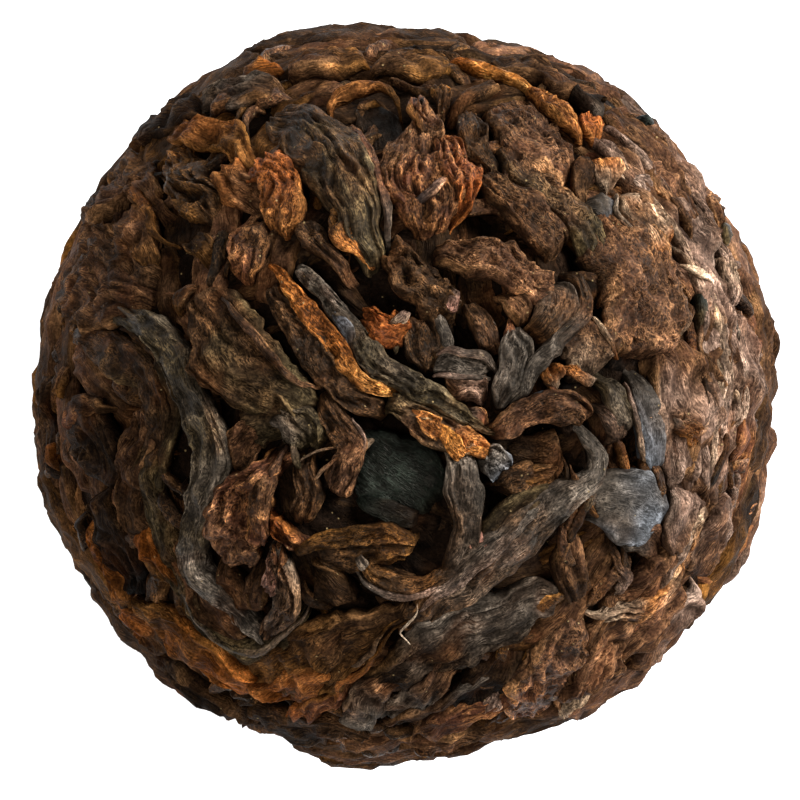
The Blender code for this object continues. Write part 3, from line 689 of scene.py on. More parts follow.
@dataclass(frozen=True)
class LeafFinish:
    """Dry, post-fermented leaf: a matt, fibrous brown skin with a slight waxy gloss.

    Valleys are painted darker and fold tops lighter, as painted shade and highlight; thin edges
    take a painted glow of warm light let through them; and pale granules of dried sap and down
    lie in the skin.
    """

    name: str
    roughness: float = 0.52
    gloss: float = 0.12          # specular level of the waxy skin
    granule: float = 0.047       # spacing of the skin's granules, drawn coarse enough to show
    wrinkle: float = 0.11        # spacing of the skin's small wrinkles across the blade
    wrinkle_length: float = 0.36     # and along it
    warp: float = 0.9            # how far the wrinkles wander, in their own spacing
    bump: float = 0.045          # height of the small wrinkles
    valley: float = 0.24         # painted shade: brightness at the bottom of a fold
    ridge: float = 1.45          # painted highlight: brightness on top of a fold
    contrast: float = 1.3        # how far the small wrinkles stand out, as painted highlight on crests and shade between
    glow: float = 0.35           # how far their crests take the edges' colour: fibre colour and painted highlight
    grain: float = 1.0           # how far the granules stand out

    def build(self) -> bpy.types.Material:
        """Make the material from what the points carry and from patterns at real sizes.

        In a map range, inputs 1 and 2 are the range that is read, and 3 and 4 the range given.
        """
        sheet = NodeSheet(self.name)
        per_metre = 1.0 / MM
        place = sheet.add("ShaderNodeTexCoord").outputs["Object"]
        uv = sheet.add("ShaderNodeUVMap", uv_map="blade").outputs["UV"]
        body, edge, rim, relief, fleck = (
            sheet.add("ShaderNodeAttribute", attribute_name=label, attribute_type="GEOMETRY")
            for label in ("body", "edge", "rim", "relief", "fleck"))
        granules = sheet.add("ShaderNodeTexNoise", {
            "Vector": place, "Scale": per_metre / self.granule * 0.5, "Detail": 2.0,
            "Roughness": 0.6}).outputs["Fac"]
        mottle = sheet.add("ShaderNodeTexNoise", {
            "Vector": place, "Scale": per_metre / 1.1, "Detail": 5.0, "Roughness": 0.7}).outputs["Fac"]
        wander = sheet.add("ShaderNodeTexNoise", {
            "Vector": place, "Scale": per_metre / 0.45, "Detail": 2.0})
        drawn_out = sheet.add("ShaderNodeMapping", {
            "Vector": uv, "Scale": (1.0 / self.wrinkle_length, 1.0 / self.wrinkle, 1.0)})
        warped = sheet.add("ShaderNodeVectorMath", {
            0: wander.outputs["Color"], 1: (self.warp, self.warp, 0.0), 2: drawn_out.outputs[0]},
            operation="MULTIPLY_ADD").outputs[0]
        net = sheet.add("ShaderNodeTexVoronoi", {
            "Vector": warped, "Scale": 1.0, "Randomness": 1.0},
            voronoi_dimensions="2D", feature="DISTANCE_TO_EDGE").outputs["Distance"]
        strokes = sheet.add("ShaderNodeTexNoise", {
            "Vector": warped, "Scale": 0.9, "Detail": 3.0, "Roughness": 0.6},
            noise_dimensions="2D").outputs["Fac"]
        off_line = sheet.add("ShaderNodeMath", {0: strokes, 1: 0.5}, operation="SUBTRACT")
        off_line = sheet.add("ShaderNodeMath", {0: off_line.outputs[0]}, operation="ABSOLUTE")
        threads = sheet.add("ShaderNodeMapRange", {
            "Value": off_line.outputs[0], 1: 0.0, 2: 0.09, 3: 1.0, 4: 0.0})
        walls = sheet.add("ShaderNodeMapRange", {"Value": net, 1: 0.0, 2: 0.2, 3: 0.7, 4: 0.0})
        crests = sheet.add("ShaderNodeMath", {
            0: threads.outputs[0], 1: walls.outputs[0]}, operation="MAXIMUM")
        bare = sheet.add("ShaderNodeMapRange", {
            "Value": wander.outputs["Fac"], 1: 0.38, 2: 0.62, 3: 0.15, 4: 1.0})
        crests = sheet.add("ShaderNodeMath", {
            0: crests.outputs[0], 1: bare.outputs[0]}, operation="MULTIPLY").outputs[0]
        tone = sheet.add("ShaderNodeMapRange", {
            "Value": mottle, 1: 0.3, 2: 0.7, 3: 0.6, 4: 1.4}).outputs[0]
        # Painted shade and highlight of the folds: darker down in a fold, lighter on its top
        height = sheet.add("ShaderNodeMapRange", {
            "Value": relief.outputs["Fac"], 1: -0.9, 2: 0.8, 3: self.valley, 4: self.ridge})
        grain = sheet.add("ShaderNodeMapRange", {
            "Value": granules, 1: 0.33, 2: 0.68, 3: 1.0 - 0.62 * self.grain, 4: 1.0 + 0.75 * self.grain})
        # Small wrinkles: crests painted lighter, partly the fibres' own colour and partly painted
        # highlight, with darker ground between
        thread_light = sheet.add("ShaderNodeMapRange", {
            "Value": crests, 1: 0.0, 2: 1.0, 3: 1.0 - 0.28 * self.contrast, 4: 1.0 + self.contrast})
        # Brightness: the painted shade and highlight of folds and wrinkles, times the skin's own mottle
        # and granules
        light = height.outputs[0]
        for factor in (tone, grain.outputs[0], thread_light.outputs[0]):
            light = sheet.add("ShaderNodeMath", {0: light, 1: factor}, operation="MULTIPLY").outputs[0]
        # Painted glow of warm light let through the thin edges, in the edges' colour
        thin = sheet.add("ShaderNodeMath", {0: rim.outputs["Fac"], 1: 0.75}, operation="MULTIPLY")
        # Painted highlight: the tops of the folds take the edges' lighter colour
        ridge_highlight = sheet.add("ShaderNodeMapRange", {
            "Value": relief.outputs["Fac"], 1: 0.35, 2: 1.0, 3: 0.0, 4: 0.4})
        warm = sheet.add("ShaderNodeMath", {
            0: thin.outputs[0], 1: ridge_highlight.outputs[0]}, operation="MAXIMUM")
        # Crests take the edges' colour too: partly the fibres' own, partly painted highlight
        warm = sheet.add("ShaderNodeMath", {
            0: crests, 1: self.glow, 2: warm.outputs[0]}, operation="MULTIPLY_ADD")
        warm = sheet.add("ShaderNodeMath", {
            0: warm.outputs[0], 1: tone}, operation="MULTIPLY", use_clamp=True)
        skin = sheet.add("ShaderNodeMix", {
            0: warm.outputs[0], 6: body.outputs["Color"], 7: edge.outputs["Color"]},
            data_type="RGBA")
        grey = sheet.add("ShaderNodeCombineColor", {0: light, 1: light, 2: light})
        lit = sheet.add("ShaderNodeMix", {
            0: 1.0, 6: skin.outputs[2], 7: grey.outputs[0]}, data_type="RGBA",
            blend_type="MULTIPLY")
        spots = sheet.add("ShaderNodeTexVoronoi", {
            "Vector": place, "Scale": per_metre / 0.17, "Randomness": 1.0})
        which = sheet.add("ShaderNodeSeparateColor", {0: spots.outputs["Color"]})
        chosen = sheet.add("ShaderNodeMath", {
            0: which.outputs[0], 1: fleck.outputs["Fac"]}, operation="LESS_THAN")
        dot = sheet.add("ShaderNodeMapRange", {
            "Value": spots.outputs["Distance"], 1: 0.12, 2: 0.24, 3: 0.75, 4: 0.0})
        dot = sheet.add("ShaderNodeMath", {
            0: dot.outputs[0], 1: chosen.outputs[0]}, operation="MULTIPLY")
        final = sheet.add("ShaderNodeMix", {
            0: dot.outputs[0], 6: lit.outputs[2], 7: (*linear("a48a5e"), 1.0)}, data_type="RGBA")
        wear = sheet.add("ShaderNodeMapRange", {
            "Value": mottle, 1: 0.3, 2: 0.7, 3: self.roughness - 0.12, 4: self.roughness + 0.1})
        rough_skin = sheet.add("ShaderNodeMath", {
            0: granules, 1: 0.6, 2: crests}, operation="MULTIPLY_ADD")
        bump = sheet.add("ShaderNodeBump", {
            "Strength": 1.0, "Distance": self.bump * MM, "Height": rough_skin.outputs[0]})
        sheet.to_surface("Base Color", final.outputs[2])
        sheet.to_surface("Roughness", wear.outputs[0])
        sheet.to_surface("Specular IOR Level", self.gloss)
        sheet.to_surface("Specular Tint", (1.0, 0.86, 0.7, 1.0))
        sheet.to_surface("Normal", bump.outputs[0])
        return sheet.material


@dataclass(frozen=True)
class Row:
    """One leaf of the plan: widths from end to end and its ridge as plan places with a lift.

    The name is a label that tells a reader which leaf it is.
    """

    name: str
    make: Make
    hues: tuple[Hue, Hue]
    widths: tuple[float, ...]
    crown: float
    plan: tuple[Place, ...]
    root: float = 0.0                        # 0 takes one that suits the width
    sink: tuple[float, float] = (1.1, 1.1)   # how far each end dives under its neighbours
    lean: float = 0.0                        # rise of the left edge to a millimetre of width
    blunt: float = 0.22                      # less is a squarer end


H, M = Hue, Make

ROWS: tuple[Row, ...] = (
    Row("dome_leaf", M.ROLLED, (H.DARK, H.OLIVE), (1.0, 2.0, 2.3, 2.0, 1.4, 0.6), 0.85,
        ((-4.8, 9.75, 0.0), (-3.5, 9.2, 0.35), (-2.4, 8.0, 0.5), (-1.75, 6.7, 0.5),
         (-1.35, 5.5, 0.35), (-0.85, 4.2, 0.0)), lean=-0.08),
    Row("dome_hem", M.ROLLED, (H.RUSSET, H.GREY), (0.2, 0.35, 0.35, 0.3, 0.2), 0.28,
        ((-2.2, 9.5, 0.2), (-1.25, 8.5, 0.4), (-0.75, 7.2, 0.45), (-0.65, 5.9, 0.35),
         (-0.7, 4.8, 0.1)), root=0.4),
    Row("dome_gold", M.FIBROUS, (H.UMBER, H.AMBER), (0.4, 1.0, 1.1, 0.6), 0.1,
        ((-2.6, 6.7, 0.2), (-2.1, 6.0, 0.27), (-1.65, 5.3, 0.22), (-1.2, 4.6, 0.05)), root=0.3,
        sink=(0.3, 0.3), blunt=0.5),
    Row("amber_leaf", M.BAND, (H.AMBER, H.UMBER), (0.4, 0.7, 0.9, 0.9, 0.6), 0.35,
        ((-7.4, 9.7, 0.0), (-7.5, 9.0, 0.15), (-6.5, 8.9, 0.25), (-5.6, 8.45, 0.25),
         (-4.9, 7.8, 0.05))),
    Row("amber_sheet", M.BAND, (H.AMBER, H.BROWN), (0.6, 1.1, 1.1, 0.6), 0.35,
        ((-6.5, 8.0, 0.05), (-5.9, 7.5, 0.2), (-5.3, 7.0, 0.2), (-4.9, 6.4, 0.0))),
    Row("wrinkled_leaf", M.CRUMPLED, (H.UMBER, H.DARK), (0.8, 1.4, 1.4, 0.8), 0.4,
        ((-7.9, 8.4, 0.0), (-7.4, 7.5, 0.15), (-6.8, 6.7, 0.15), (-6.3, 5.9, 0.0)), blunt=0.14),
    Row("rust_tip", M.FLAKY, (H.RUST, H.AMBER), (0.8, 1.3, 1.3, 1.1, 0.7), 0.42,
        ((-5.0, 8.3, 0.1), (-4.5, 7.6, 0.33), (-4.3, 6.8, 0.36), (-4.45, 6.1, 0.25), (-4.7, 5.4, 0.0)),
        blunt=0.08),
    Row("oval_flake", M.FLAKY, (H.DARK, H.RUSSET), (0.5, 1.1, 1.1, 0.5), 0.38,
        ((-5.2, 6.4, 0.05), (-5.4, 5.5, 0.2), (-5.6, 4.7, 0.2), (-6.0, 3.9, 0.0))),
    Row("nested_leaf", M.CUPPED, (H.CHAR, H.UMBER), (0.5, 0.9, 0.7), 0.3,
        ((-7.4, 5.7, 0.0), (-7.0, 5.1, 0.1), (-6.5, 4.4, 0.0))),
    Row("twig", M.BAND, (H.AMBER, H.UMBER), (0.2, 0.35, 0.35, 0.25), 0.25,
        ((-9.4, 7.3, 0.1), (-8.95, 6.5, 0.3), (-8.5, 5.7, 0.3), (-7.9, 5.1, 0.1)),
        sink=(0.3, 0.3)),
    Row("twig_band", M.BAND, (H.UMBER, H.BROWN), (0.6, 1.1, 1.0, 0.6), 0.35,
        ((-9.6, 8.2, 0.0), (-9.2, 7.4, 0.1), (-8.6, 6.7, 0.1), (-8.1, 6.0, 0.0))),
    Row("upper_left_leaf", M.BAND, (H.DARK, H.CHAR), (0.9, 1.4, 1.3, 0.8), 0.4,
        ((-9.0, 8.9, 0.0), (-8.4, 9.3, 0.1), (-7.6, 9.7, 0.1), (-6.7, 10.0, 0.0))),
    Row("corner_leaf", M.BAND, (H.GREY, H.DARK), (0.6, 1.0, 1.1, 0.8), 0.38,
        ((-7.2, 9.9, 0.0), (-6.2, 10.4, 0.15), (-5.1, 10.6, 0.15), (-3.9, 10.5, 0.0))),
    Row("corner_glint", M.FLAKY, (H.BROWN, H.DARK), (0.3, 0.6, 0.4), 0.2,
        ((-6.8, 9.7, 0.05), (-6.2, 10.1, 0.2), (-5.6, 10.4, 0.05)), sink=(0.5, 0.5)),
    Row("corner_lobe", M.BAND, (H.UMBER, H.SIENNA), (0.4, 0.8, 0.5), 0.3,
        ((-5.4, 11.2, 0.0), (-4.9, 11.35, 0.15), (-4.3, 11.4, 0.0)), sink=(0.3, 0.3)),
    Row("crown_leaf", M.BAND, (H.BROWN, H.UMBER), (0.8, 1.3, 1.2, 0.7), 0.35,
        ((-4.3, 11.3, 0.0), (-3.2, 11.4, 0.15), (-2.1, 11.6, 0.15), (-1.0, 11.7, 0.0))),
    Row("top_arc", M.BAND, (H.AMBER, H.UMBER), (0.15, 0.28, 0.3, 0.25, 0.15), 0.28,
        ((-2.9, 9.6, 0.1), (-2.2, 10.4, 0.3), (-1.1, 10.75, 0.3), (-0.4, 10.5, 0.3),
         (-0.15, 9.4, 0.0))),
    # The hollow's wall under the arc: its near-black colours paint the hollow's shade
    Row("arc_wall", M.SMOOTH, (H.CHAR, H.PITCH), (0.7, 1.3, 1.2, 0.7), 0.3,
        ((-1.4, 10.2, -0.5), (-0.9, 9.3, -0.45), (-0.6, 8.4, -0.5), (-0.6, 7.5, -0.7))),
    Row("top_band", M.BAND, (H.DARK, H.UMBER), (0.6, 1.1, 1.1, 0.7), 0.35,
        ((-1.6, 11.3, 0.0), (-0.4, 11.4, 0.15), (0.9, 11.5, 0.15), (2.2, 11.3, 0.0))),
    Row("russet_crumple", M.FIBROUS, (H.BROWN, H.RUSSET), (0.6, 1.6, 2.1, 2.1, 0.9), 0.55,
        ((0.7, 9.6, 0.1), (0.8, 8.6, 0.35), (0.8, 7.5, 0.4), (0.8, 6.4, 0.35), (0.9, 5.3, 0.0)),
        blunt=0.14),
    Row("crumple_crown", M.CRUMPLED, (H.RUSSET, H.BROWN), (0.3, 0.7, 0.8, 0.4), 0.35,
        ((0.55, 10.3, 0.2), (0.75, 9.7, 0.4), (1.0, 9.0, 0.5), (1.1, 8.2, 0.3)), blunt=0.12),
    Row("crumple_lobe", M.CRUMPLED, (H.RUSSET, H.RUST), (0.4, 0.8, 0.9, 0.8, 0.5), 0.38,
        ((1.2, 9.2, 0.4), (1.65, 8.4, 0.6), (1.95, 7.5, 0.6), (1.75, 6.7, 0.5), (1.4, 6.0, 0.2)),
        blunt=0.12),
    Row("crumple_shoulder", M.CRUMPLED, (H.BROWN, H.RUSSET), (0.4, 0.8, 0.8, 0.6, 0.3), 0.38,
        ((0.3, 9.1, 0.3), (-0.1, 8.4, 0.45), (-0.2, 7.6, 0.45), (0.1, 6.8, 0.4), (0.5, 6.1, 0.2)),
        blunt=0.12),
    # A raised strip across the crumple; its slate colour paints a bluish highlight on it
    Row("crumple_highlight_strip", M.ROLLED, (H.SLATE, H.CHESTNUT), (0.14, 0.24, 0.24, 0.14), 0.16,
        ((0.0, 6.5, 0.35), (0.5, 6.8, 0.55), (1.1, 7.15, 0.65), (1.7, 7.65, 0.6)), root=0.4,
        sink=(0.4, 0.4)),
    Row("upper_ridge", M.FIBROUS, (H.UMBER, H.DARK), (0.4, 0.6, 0.4), 0.3,
        ((0.9, 11.0, 0.1), (1.3, 10.4, 0.15), (1.3, 9.7, 0.1))),
    Row("forked_leaf", M.PRESSED, (H.DARK, H.DARK), (0.3, 0.45, 0.45, 0.25), 0.3,
        ((1.5, 9.6, 0.1), (2.0, 10.1, 0.25), (2.6, 10.5, 0.25), (3.4, 10.8, 0.05))),
    Row("golden_edge", M.SHEET, (H.SIENNA, H.GOLD), (0.15, 0.34, 0.45, 0.34), 0.12,
        ((1.3, 11.5, 0.09), (2.4, 11.3, 0.19), (3.5, 10.95, 0.22), (4.6, 10.4, 0.16)),
        sink=(0.3, 0.2), blunt=0.4),
    Row("golden_border", M.SHEET, (H.AMBER, H.AMBER), (0.2, 0.55, 1.0, 1.0, 0.4), 0.14,
        ((4.1, 10.7, 0.16), (4.8, 10.2, 0.26), (5.3, 9.75, 0.3), (5.8, 9.3, 0.28), (6.2, 8.8, 0.09)),
        sink=(0.2, 0.3), blunt=0.45),
    Row("orange_corner", M.SHEET, (H.RUST, H.AMBER), (0.3, 0.8, 0.95, 0.5), 0.12,
        ((6.15, 9.75, 0.14), (6.35, 9.45, 0.24), (6.55, 9.1, 0.24), (6.6, 8.75, 0.09)),
        sink=(0.2, 0.2), blunt=0.3),
    Row("broad_leaf", M.FIBROUS, (H.BROWN, H.CHESTNUT), (1.0, 1.9, 2.0, 1.8, 0.9), 0.4,
        ((2.9, 10.2, 0.0), (3.8, 9.5, 0.15), (4.6, 8.8, 0.2), (5.4, 8.1, 0.15), (6.1, 7.4, 0.0))),
    Row("speckled_strip", M.FIBROUS, (H.DARK, H.CHAR), (0.5, 0.9, 0.9, 0.5), 0.35,
        ((1.9, 10.0, 0.1), (2.3, 9.1, 0.25), (2.8, 8.2, 0.2), (3.4, 7.4, 0.0))),
    Row("olive_strip", M.FIBROUS, (H.BROWN, H.OLIVE), (0.5, 0.9, 1.0, 1.0, 0.9, 0.5), 0.4,
        ((3.2, 8.8, 0.1), (3.9, 7.9, 0.25), (4.9, 7.1, 0.3), (5.9, 6.3, 0.3), (6.6, 5.2, 0.2),
         (6.9, 4.0, 0.0))),
    Row("grey_brown_strip", M.FIBROUS, (H.DARK, H.BROWN), (0.6, 1.1, 1.2, 1.1, 0.7), 0.42,
        ((2.4, 7.9, 0.05), (3.2, 7.2, 0.25), (4.1, 6.5, 0.3), (4.9, 5.6, 0.25), (5.4, 4.5, 0.0))),
    Row("ochre_patch", M.SHEET, (H.AMBER, H.BUFF), (0.6, 1.2, 1.2, 0.6), 0.12,
        ((6.4, 8.4, 0.05), (6.8, 7.9, 0.15), (7.1, 7.4, 0.15), (7.4, 6.9, 0.0)), blunt=0.4),
    Row("patch_wall", M.PRESSED, (H.CHAR, H.DARK), (0.3, 0.55, 0.55, 0.3), 0.25,
        ((6.3, 8.3, 0.04), (6.15, 7.7, 0.19), (6.1, 7.2, 0.19), (6.3, 6.7, 0.04)), sink=(0.3, 0.3)),
    Row("tan_strip", M.SHEET, (H.CLAY, H.BUFF), (0.25, 0.5, 0.55, 0.4), 0.14,
        ((6.5, 9.0, 0.09), (7.0, 8.4, 0.22), (7.4, 7.8, 0.22), (7.9, 7.2, 0.04)), sink=(0.2, 0.4)),
    Row("tan_strip_end", M.SHEET, (H.GREY, H.CLAY), (0.4, 0.75, 0.44), 0.14,
        ((7.6, 7.6, 0.09), (8.1, 7.2, 0.24), (8.6, 6.7, 0.09)), sink=(0.3, 0.3), blunt=0.15),
    Row("pebble", M.SMOOTH, (H.GREY, H.SLATE), (0.5, 1.0, 0.9, 0.5), 0.4,
        ((6.2, 6.9, 0.09), (6.6, 6.75, 0.24), (7.0, 6.5, 0.24), (7.3, 6.1, 0.04)), sink=(0.3, 0.3),
        blunt=0.12),
    Row("ochre_leaf", M.SHEET, (H.BUFF, H.AMBER), (0.6, 1.5, 1.7, 1.4, 0.6), 0.16,
        ((7.3, 7.3, 0.1), (7.8, 6.7, 0.28), (8.3, 6.0, 0.36), (8.8, 5.3, 0.34), (9.3, 4.6, 0.1)),
        blunt=0.4),
    Row("ochre_hem", M.ROLLED, (H.CREAM, H.BUFF), (0.05, 0.09, 0.1, 0.07), 0.1,
        ((7.35, 7.1, 0.3), (7.3, 6.5, 0.4), (7.6, 5.9, 0.45), (8.1, 5.3, 0.4)), root=0.3,
        sink=(0.1, 0.1)),
    Row("cream_chip", M.SHEET, (H.TAN, H.CREAM), (0.1, 0.26, 0.28, 0.1), 0.08,
        ((9.4, 4.4, 0.36), (9.75, 4.28, 0.44), (10.1, 4.14, 0.44), (10.5, 3.9, 0.36)), root=0.2,
        sink=(0.05, 0.05), blunt=0.4),
    Row("right_leaf", M.FLAKY, (H.BROWN, H.CHESTNUT), (1.1, 2.2, 2.8, 2.9, 2.6, 1.3), 0.55,
        ((6.1, 6.5, 0.0), (7.2, 5.6, 0.25), (8.1, 4.5, 0.35), (8.45, 3.3, 0.4), (8.45, 2.2, 0.35),
         (8.3, 1.0, 0.0))),
    Row("right_leaf_curl", M.BAND, (H.CHESTNUT, H.BUFF), (0.15, 0.28, 0.28, 0.15), 0.22,
        ((9.1, 3.5, 0.3), (9.6, 3.1, 0.4), (9.75, 2.4, 0.35), (9.5, 1.6, 0.2)), root=0.4),
    Row("knot_strip", M.CRUMPLED, (H.BROWN, H.CHESTNUT), (0.6, 1.1, 1.2, 1.1, 0.8), 0.42,
        ((0.9, 5.0, 0.0), (2.0, 4.85, 0.35), (3.1, 4.45, 0.35), (4.2, 4.1, 0.3), (5.4, 3.6, 0.1)),
        sink=(0.9, 0.7), blunt=0.12),
    Row("left_knot_strip", M.CRUMPLED, (H.DARK, H.DARK), (0.7, 1.2, 1.3, 1.2, 1.0), 0.42,
        ((-1.0, 5.2, 0.0), (-0.2, 4.6, 0.25), (0.5, 4.0, 0.3), (1.1, 3.5, 0.3), (1.7, 3.0, 0.3)),
        sink=(0.7, 0.15), blunt=0.08),
    Row("cut_end", M.FLAKY, (H.CLAY, H.PINK), (0.3, 0.5, 0.4), 0.14,
        ((1.45, 3.7, 0.3), (1.6, 3.3, 0.4), (1.75, 2.85, 0.35)), root=0.4, sink=(0.1, 0.1), blunt=0.3),
    Row("upright_strip", M.ROLLED, (H.GREY, H.GREY), (0.35, 0.45, 0.45, 0.35), 0.28,
        ((1.05, 3.0, 0.1), (1.2, 2.5, 0.2), (1.35, 2.0, 0.2), (1.5, 1.5, 0.1)), sink=(0.2, 0.2)),
    Row("dark_upright", M.FIBROUS, (H.DARK, H.CHAR), (0.6, 1.1, 1.1, 0.7), 0.32,
        ((0.3, 3.4, -0.2), (0.55, 2.4, -0.05), (0.8, 1.3, -0.05), (1.0, 0.3, -0.2))),
    Row("inner_tube", M.ROLLED, (H.DARK, H.CHESTNUT), (0.6, 0.75, 0.75, 0.6), 0.38,
        ((2.4, 3.3, -0.3), (2.65, 2.7, -0.15), (2.9, 2.0, -0.15), (3.1, 1.3, -0.25)),
        sink=(0.3, 0.3), blunt=0.1),
    Row("tube_neighbour", M.ROLLED, (H.RUSSET, H.GREY), (0.3, 0.45, 0.4, 0.3), 0.3,
        ((3.8, 2.9, 0.0), (3.65, 2.2, 0.1), (3.35, 1.4, 0.1), (3.15, 0.7, 0.0)), sink=(0.4, 0.3)),
    Row("ringed_stub", M.FIBROUS, (H.GREY, H.GREY), (0.6, 0.75, 0.75, 0.6), 0.3,
        ((1.1, 1.0, 0.15), (1.7, 1.15, 0.25), (2.4, 1.05, 0.25), (2.95, 0.7, 0.15)),
        sink=(0.15, 0.2), blunt=0.06),
    Row("stub_upper_ring", M.ROLLED, (H.CLAY, H.GREY), (0.18, 0.24, 0.24, 0.2), 0.22,
        ((0.95, 1.35, 0.3), (1.8, 1.55, 0.45), (2.7, 1.4, 0.4), (3.1, 0.7, 0.25)), root=0.4,
        sink=(0.1, 0.15)),
    Row("stub_lower_ring", M.ROLLED, (H.CLAY, H.GREY), (0.15, 0.2, 0.2, 0.15), 0.2,
        ((1.05, 0.6, 0.25), (1.7, 0.7, 0.35), (2.4, 0.65, 0.35), (3.05, 0.45, 0.25)), root=0.4,
        sink=(0.1, 0.15)),
    Row("stub_nub", M.CRUMPLED, (H.CHESTNUT, H.CLAY), (0.5, 0.8, 0.7, 0.4), 0.3,
        ((1.5, 0.4, 0.0), (2.0, 0.3, 0.1), (2.5, 0.15, 0.1), (2.9, -0.05, 0.0)), sink=(0.3, 0.3),
        blunt=0.1),
    Row("purple_lobe", M.FLAKY, (H.GREY, H.RUSSET), (0.2, 0.4, 0.3), 0.2,
        ((2.1, -0.4, -0.05), (2.6, -0.55, 0.05), (3.1, -0.8, -0.05)), sink=(0.3, 0.3)),
    Row("striped_leaf", M.ROLLED, (H.GREY, H.DARK), (0.5, 1.0, 1.2, 1.1, 0.7), 0.38,
        ((4.9, 4.2, 0.05), (5.3, 3.6, 0.25), (5.3, 2.9, 0.3), (4.9, 2.3, 0.25), (4.3, 1.8, 0.0))),
    Row("heel_strip", M.ROLLED, (H.GREY, H.GREY), (0.6, 0.95, 1.05, 0.9, 0.5), 0.35,
        ((4.2, 2.6, 0.05), (4.0, 1.8, 0.25), (3.8, 1.0, 0.3), (3.5, 0.2, 0.25), (3.3, -0.4, 0.1)),
        sink=(0.6, 0.3), blunt=0.14),
    Row("loop_strip", M.ROLLED, (H.DARK, H.GREY), (0.35, 0.45, 0.5, 0.55, 0.55, 0.5, 0.3), 0.3,
        ((5.5, 4.5, 0.1), (6.05, 3.6, 0.3), (5.95, 2.6, 0.35), (5.2, 1.8, 0.4), (4.6, 1.1, 0.4),
         (4.15, 0.3, 0.3), (3.7, -0.3, 0.1)), sink=(0.6, 0.3)),
    Row("ovate_leaf", M.CUPPED, (H.BROWN, H.DARK), (0.4, 0.75, 0.7, 0.4), 0.28,
        ((3.5, 3.8, 0.0), (3.8, 3.3, 0.12), (4.2, 2.8, 0.12), (4.4, 2.3, 0.0))),
    Row("valley_leaf", M.PRESSED, (H.CHAR, H.DARK), (0.5, 0.8, 0.5), 0.3,
        ((6.2, 4.5, -0.3), (6.5, 3.7, -0.2), (6.4, 2.9, -0.3))),
    Row("crinkled_leaf", M.FLAKY, (H.BROWN, H.BUFF), (0.7, 1.3, 1.5, 1.3, 0.7), 0.38,
        ((5.5, 2.7, 0.0), (6.0, 2.2, 0.2), (6.4, 1.6, 0.25), (6.5, 1.0, 0.2), (6.6, 0.4, 0.0)),
        blunt=0.14),
    Row("crinkled_hem", M.ROLLED, (H.TAN, H.AMBER), (0.08, 0.14, 0.14, 0.08), 0.14,
        ((6.45, 2.9, 0.3), (6.8, 2.3, 0.4), (7.05, 1.8, 0.4), (7.4, 1.2, 0.25)), root=0.3,
        sink=(0.2, 0.2)),
    Row("crinkled_gold", M.CRUMPLED, (H.AMBER, H.BUFF), (0.2, 0.35, 0.3, 0.2), 0.16,
        ((5.6, 1.05, 0.2), (5.95, 0.7, 0.28), (6.35, 0.5, 0.28), (6.8, 0.4, 0.15)), root=0.3,
        sink=(0.2, 0.2), blunt=0.2),
    Row("golden_knob", M.CRUMPLED, (H.AMBER, H.TAN), (0.3, 0.6, 0.5, 0.3), 0.28,
        ((4.7, 1.1, 0.15), (4.95, 0.8, 0.35), (5.2, 0.5, 0.35), (5.45, 0.2, 0.15)), sink=(0.2, 0.2),
        blunt=0.1),
    Row("knob_stem", M.ROLLED, (H.RUSSET, H.RUSSET), (0.18, 0.22, 0.18), 0.2,
        ((4.95, 0.5, 0.2), (5.2, 0.1, 0.3), (5.5, -0.25, 0.2)), sink=(0.1, 0.1)),
    Row("wrinkled_strip", M.FIBROUS, (H.CHESTNUT, H.BROWN), (0.5, 0.9, 1.0, 1.0, 0.9, 0.5), 0.4,
        ((2.8, -1.5, 0.05), (3.7, -1.0, 0.25), (4.5, -0.6, 0.35), (5.3, -0.35, 0.35),
         (6.1, -0.45, 0.3), (6.5, -1.1, 0.0)), blunt=0.14),
    # Its slate colour paints a grey highlight on a dark leaf
    Row("slate_sliver", M.SMOOTH, (H.SLATE, H.SLATE), (0.15, 0.3, 0.25), 0.2,
        ((4.2, -0.15, 0.05), (4.7, 0.0, 0.15), (5.2, 0.0, 0.1)), sink=(0.2, 0.2)),
    Row("golden_strip", M.FIBROUS, (H.SIENNA, H.GOLD), (0.3, 0.5, 0.58, 0.6, 0.65, 0.75, 0.4), 0.3,
        ((-4.8, 4.9, 0.1), (-3.8, 3.6, 0.25), (-2.9, 2.35, 0.3), (-2.2, 1.25, 0.35),
         (-1.55, 0.6, 0.35), (-0.85, 0.2, 0.35), (-0.1, 0.0, 0.2)), sink=(0.5, 0.8), blunt=0.4),
    Row("strip_body", M.FIBROUS, (H.DARK, H.DARK), (0.5, 0.9, 1.0, 1.0, 0.9, 0.6), 0.35,
        ((-4.9, 4.1, 0.0), (-4.0, 2.8, 0.1), (-3.1, 1.5, 0.15), (-2.4, 0.5, 0.15),
         (-1.5, -0.2, 0.15), (-0.4, -0.6, 0.0))),
    Row("grey_strip", M.FIBROUS, (H.GREY, H.OLIVE),
        (0.45, 0.62, 0.66, 0.62, 0.72, 0.82, 0.82, 0.7, 0.45, 0.25), 0.38,
        ((-3.9, 4.7, 0.0), (-2.8, 3.55, 0.25), (-2.1, 2.6, 0.3), (-1.5, 1.75, 0.35),
         (-0.85, 1.1, 0.35), (0.0, 0.55, 0.35), (0.9, 0.05, 0.35), (1.6, -0.45, 0.35),
         (2.4, -0.9, 0.3), (3.3, -1.4, 0.15)), sink=(0.6, 0.2)),
    # A kink of the grey strip; its slate colour paints a bluish highlight on it
    Row("strip_stub", M.ROLLED, (H.SLATE, H.GREY), (0.25, 0.4, 0.3), 0.25,
        ((-2.45, 2.9, 0.3), (-2.1, 2.2, 0.45), (-1.8, 1.5, 0.35)), sink=(0.2, 0.2)),
    Row("lower_golden_leaf", M.FIBROUS, (H.OLIVE, H.CHESTNUT), (0.6, 1.0, 1.1, 0.9, 0.5), 0.35,
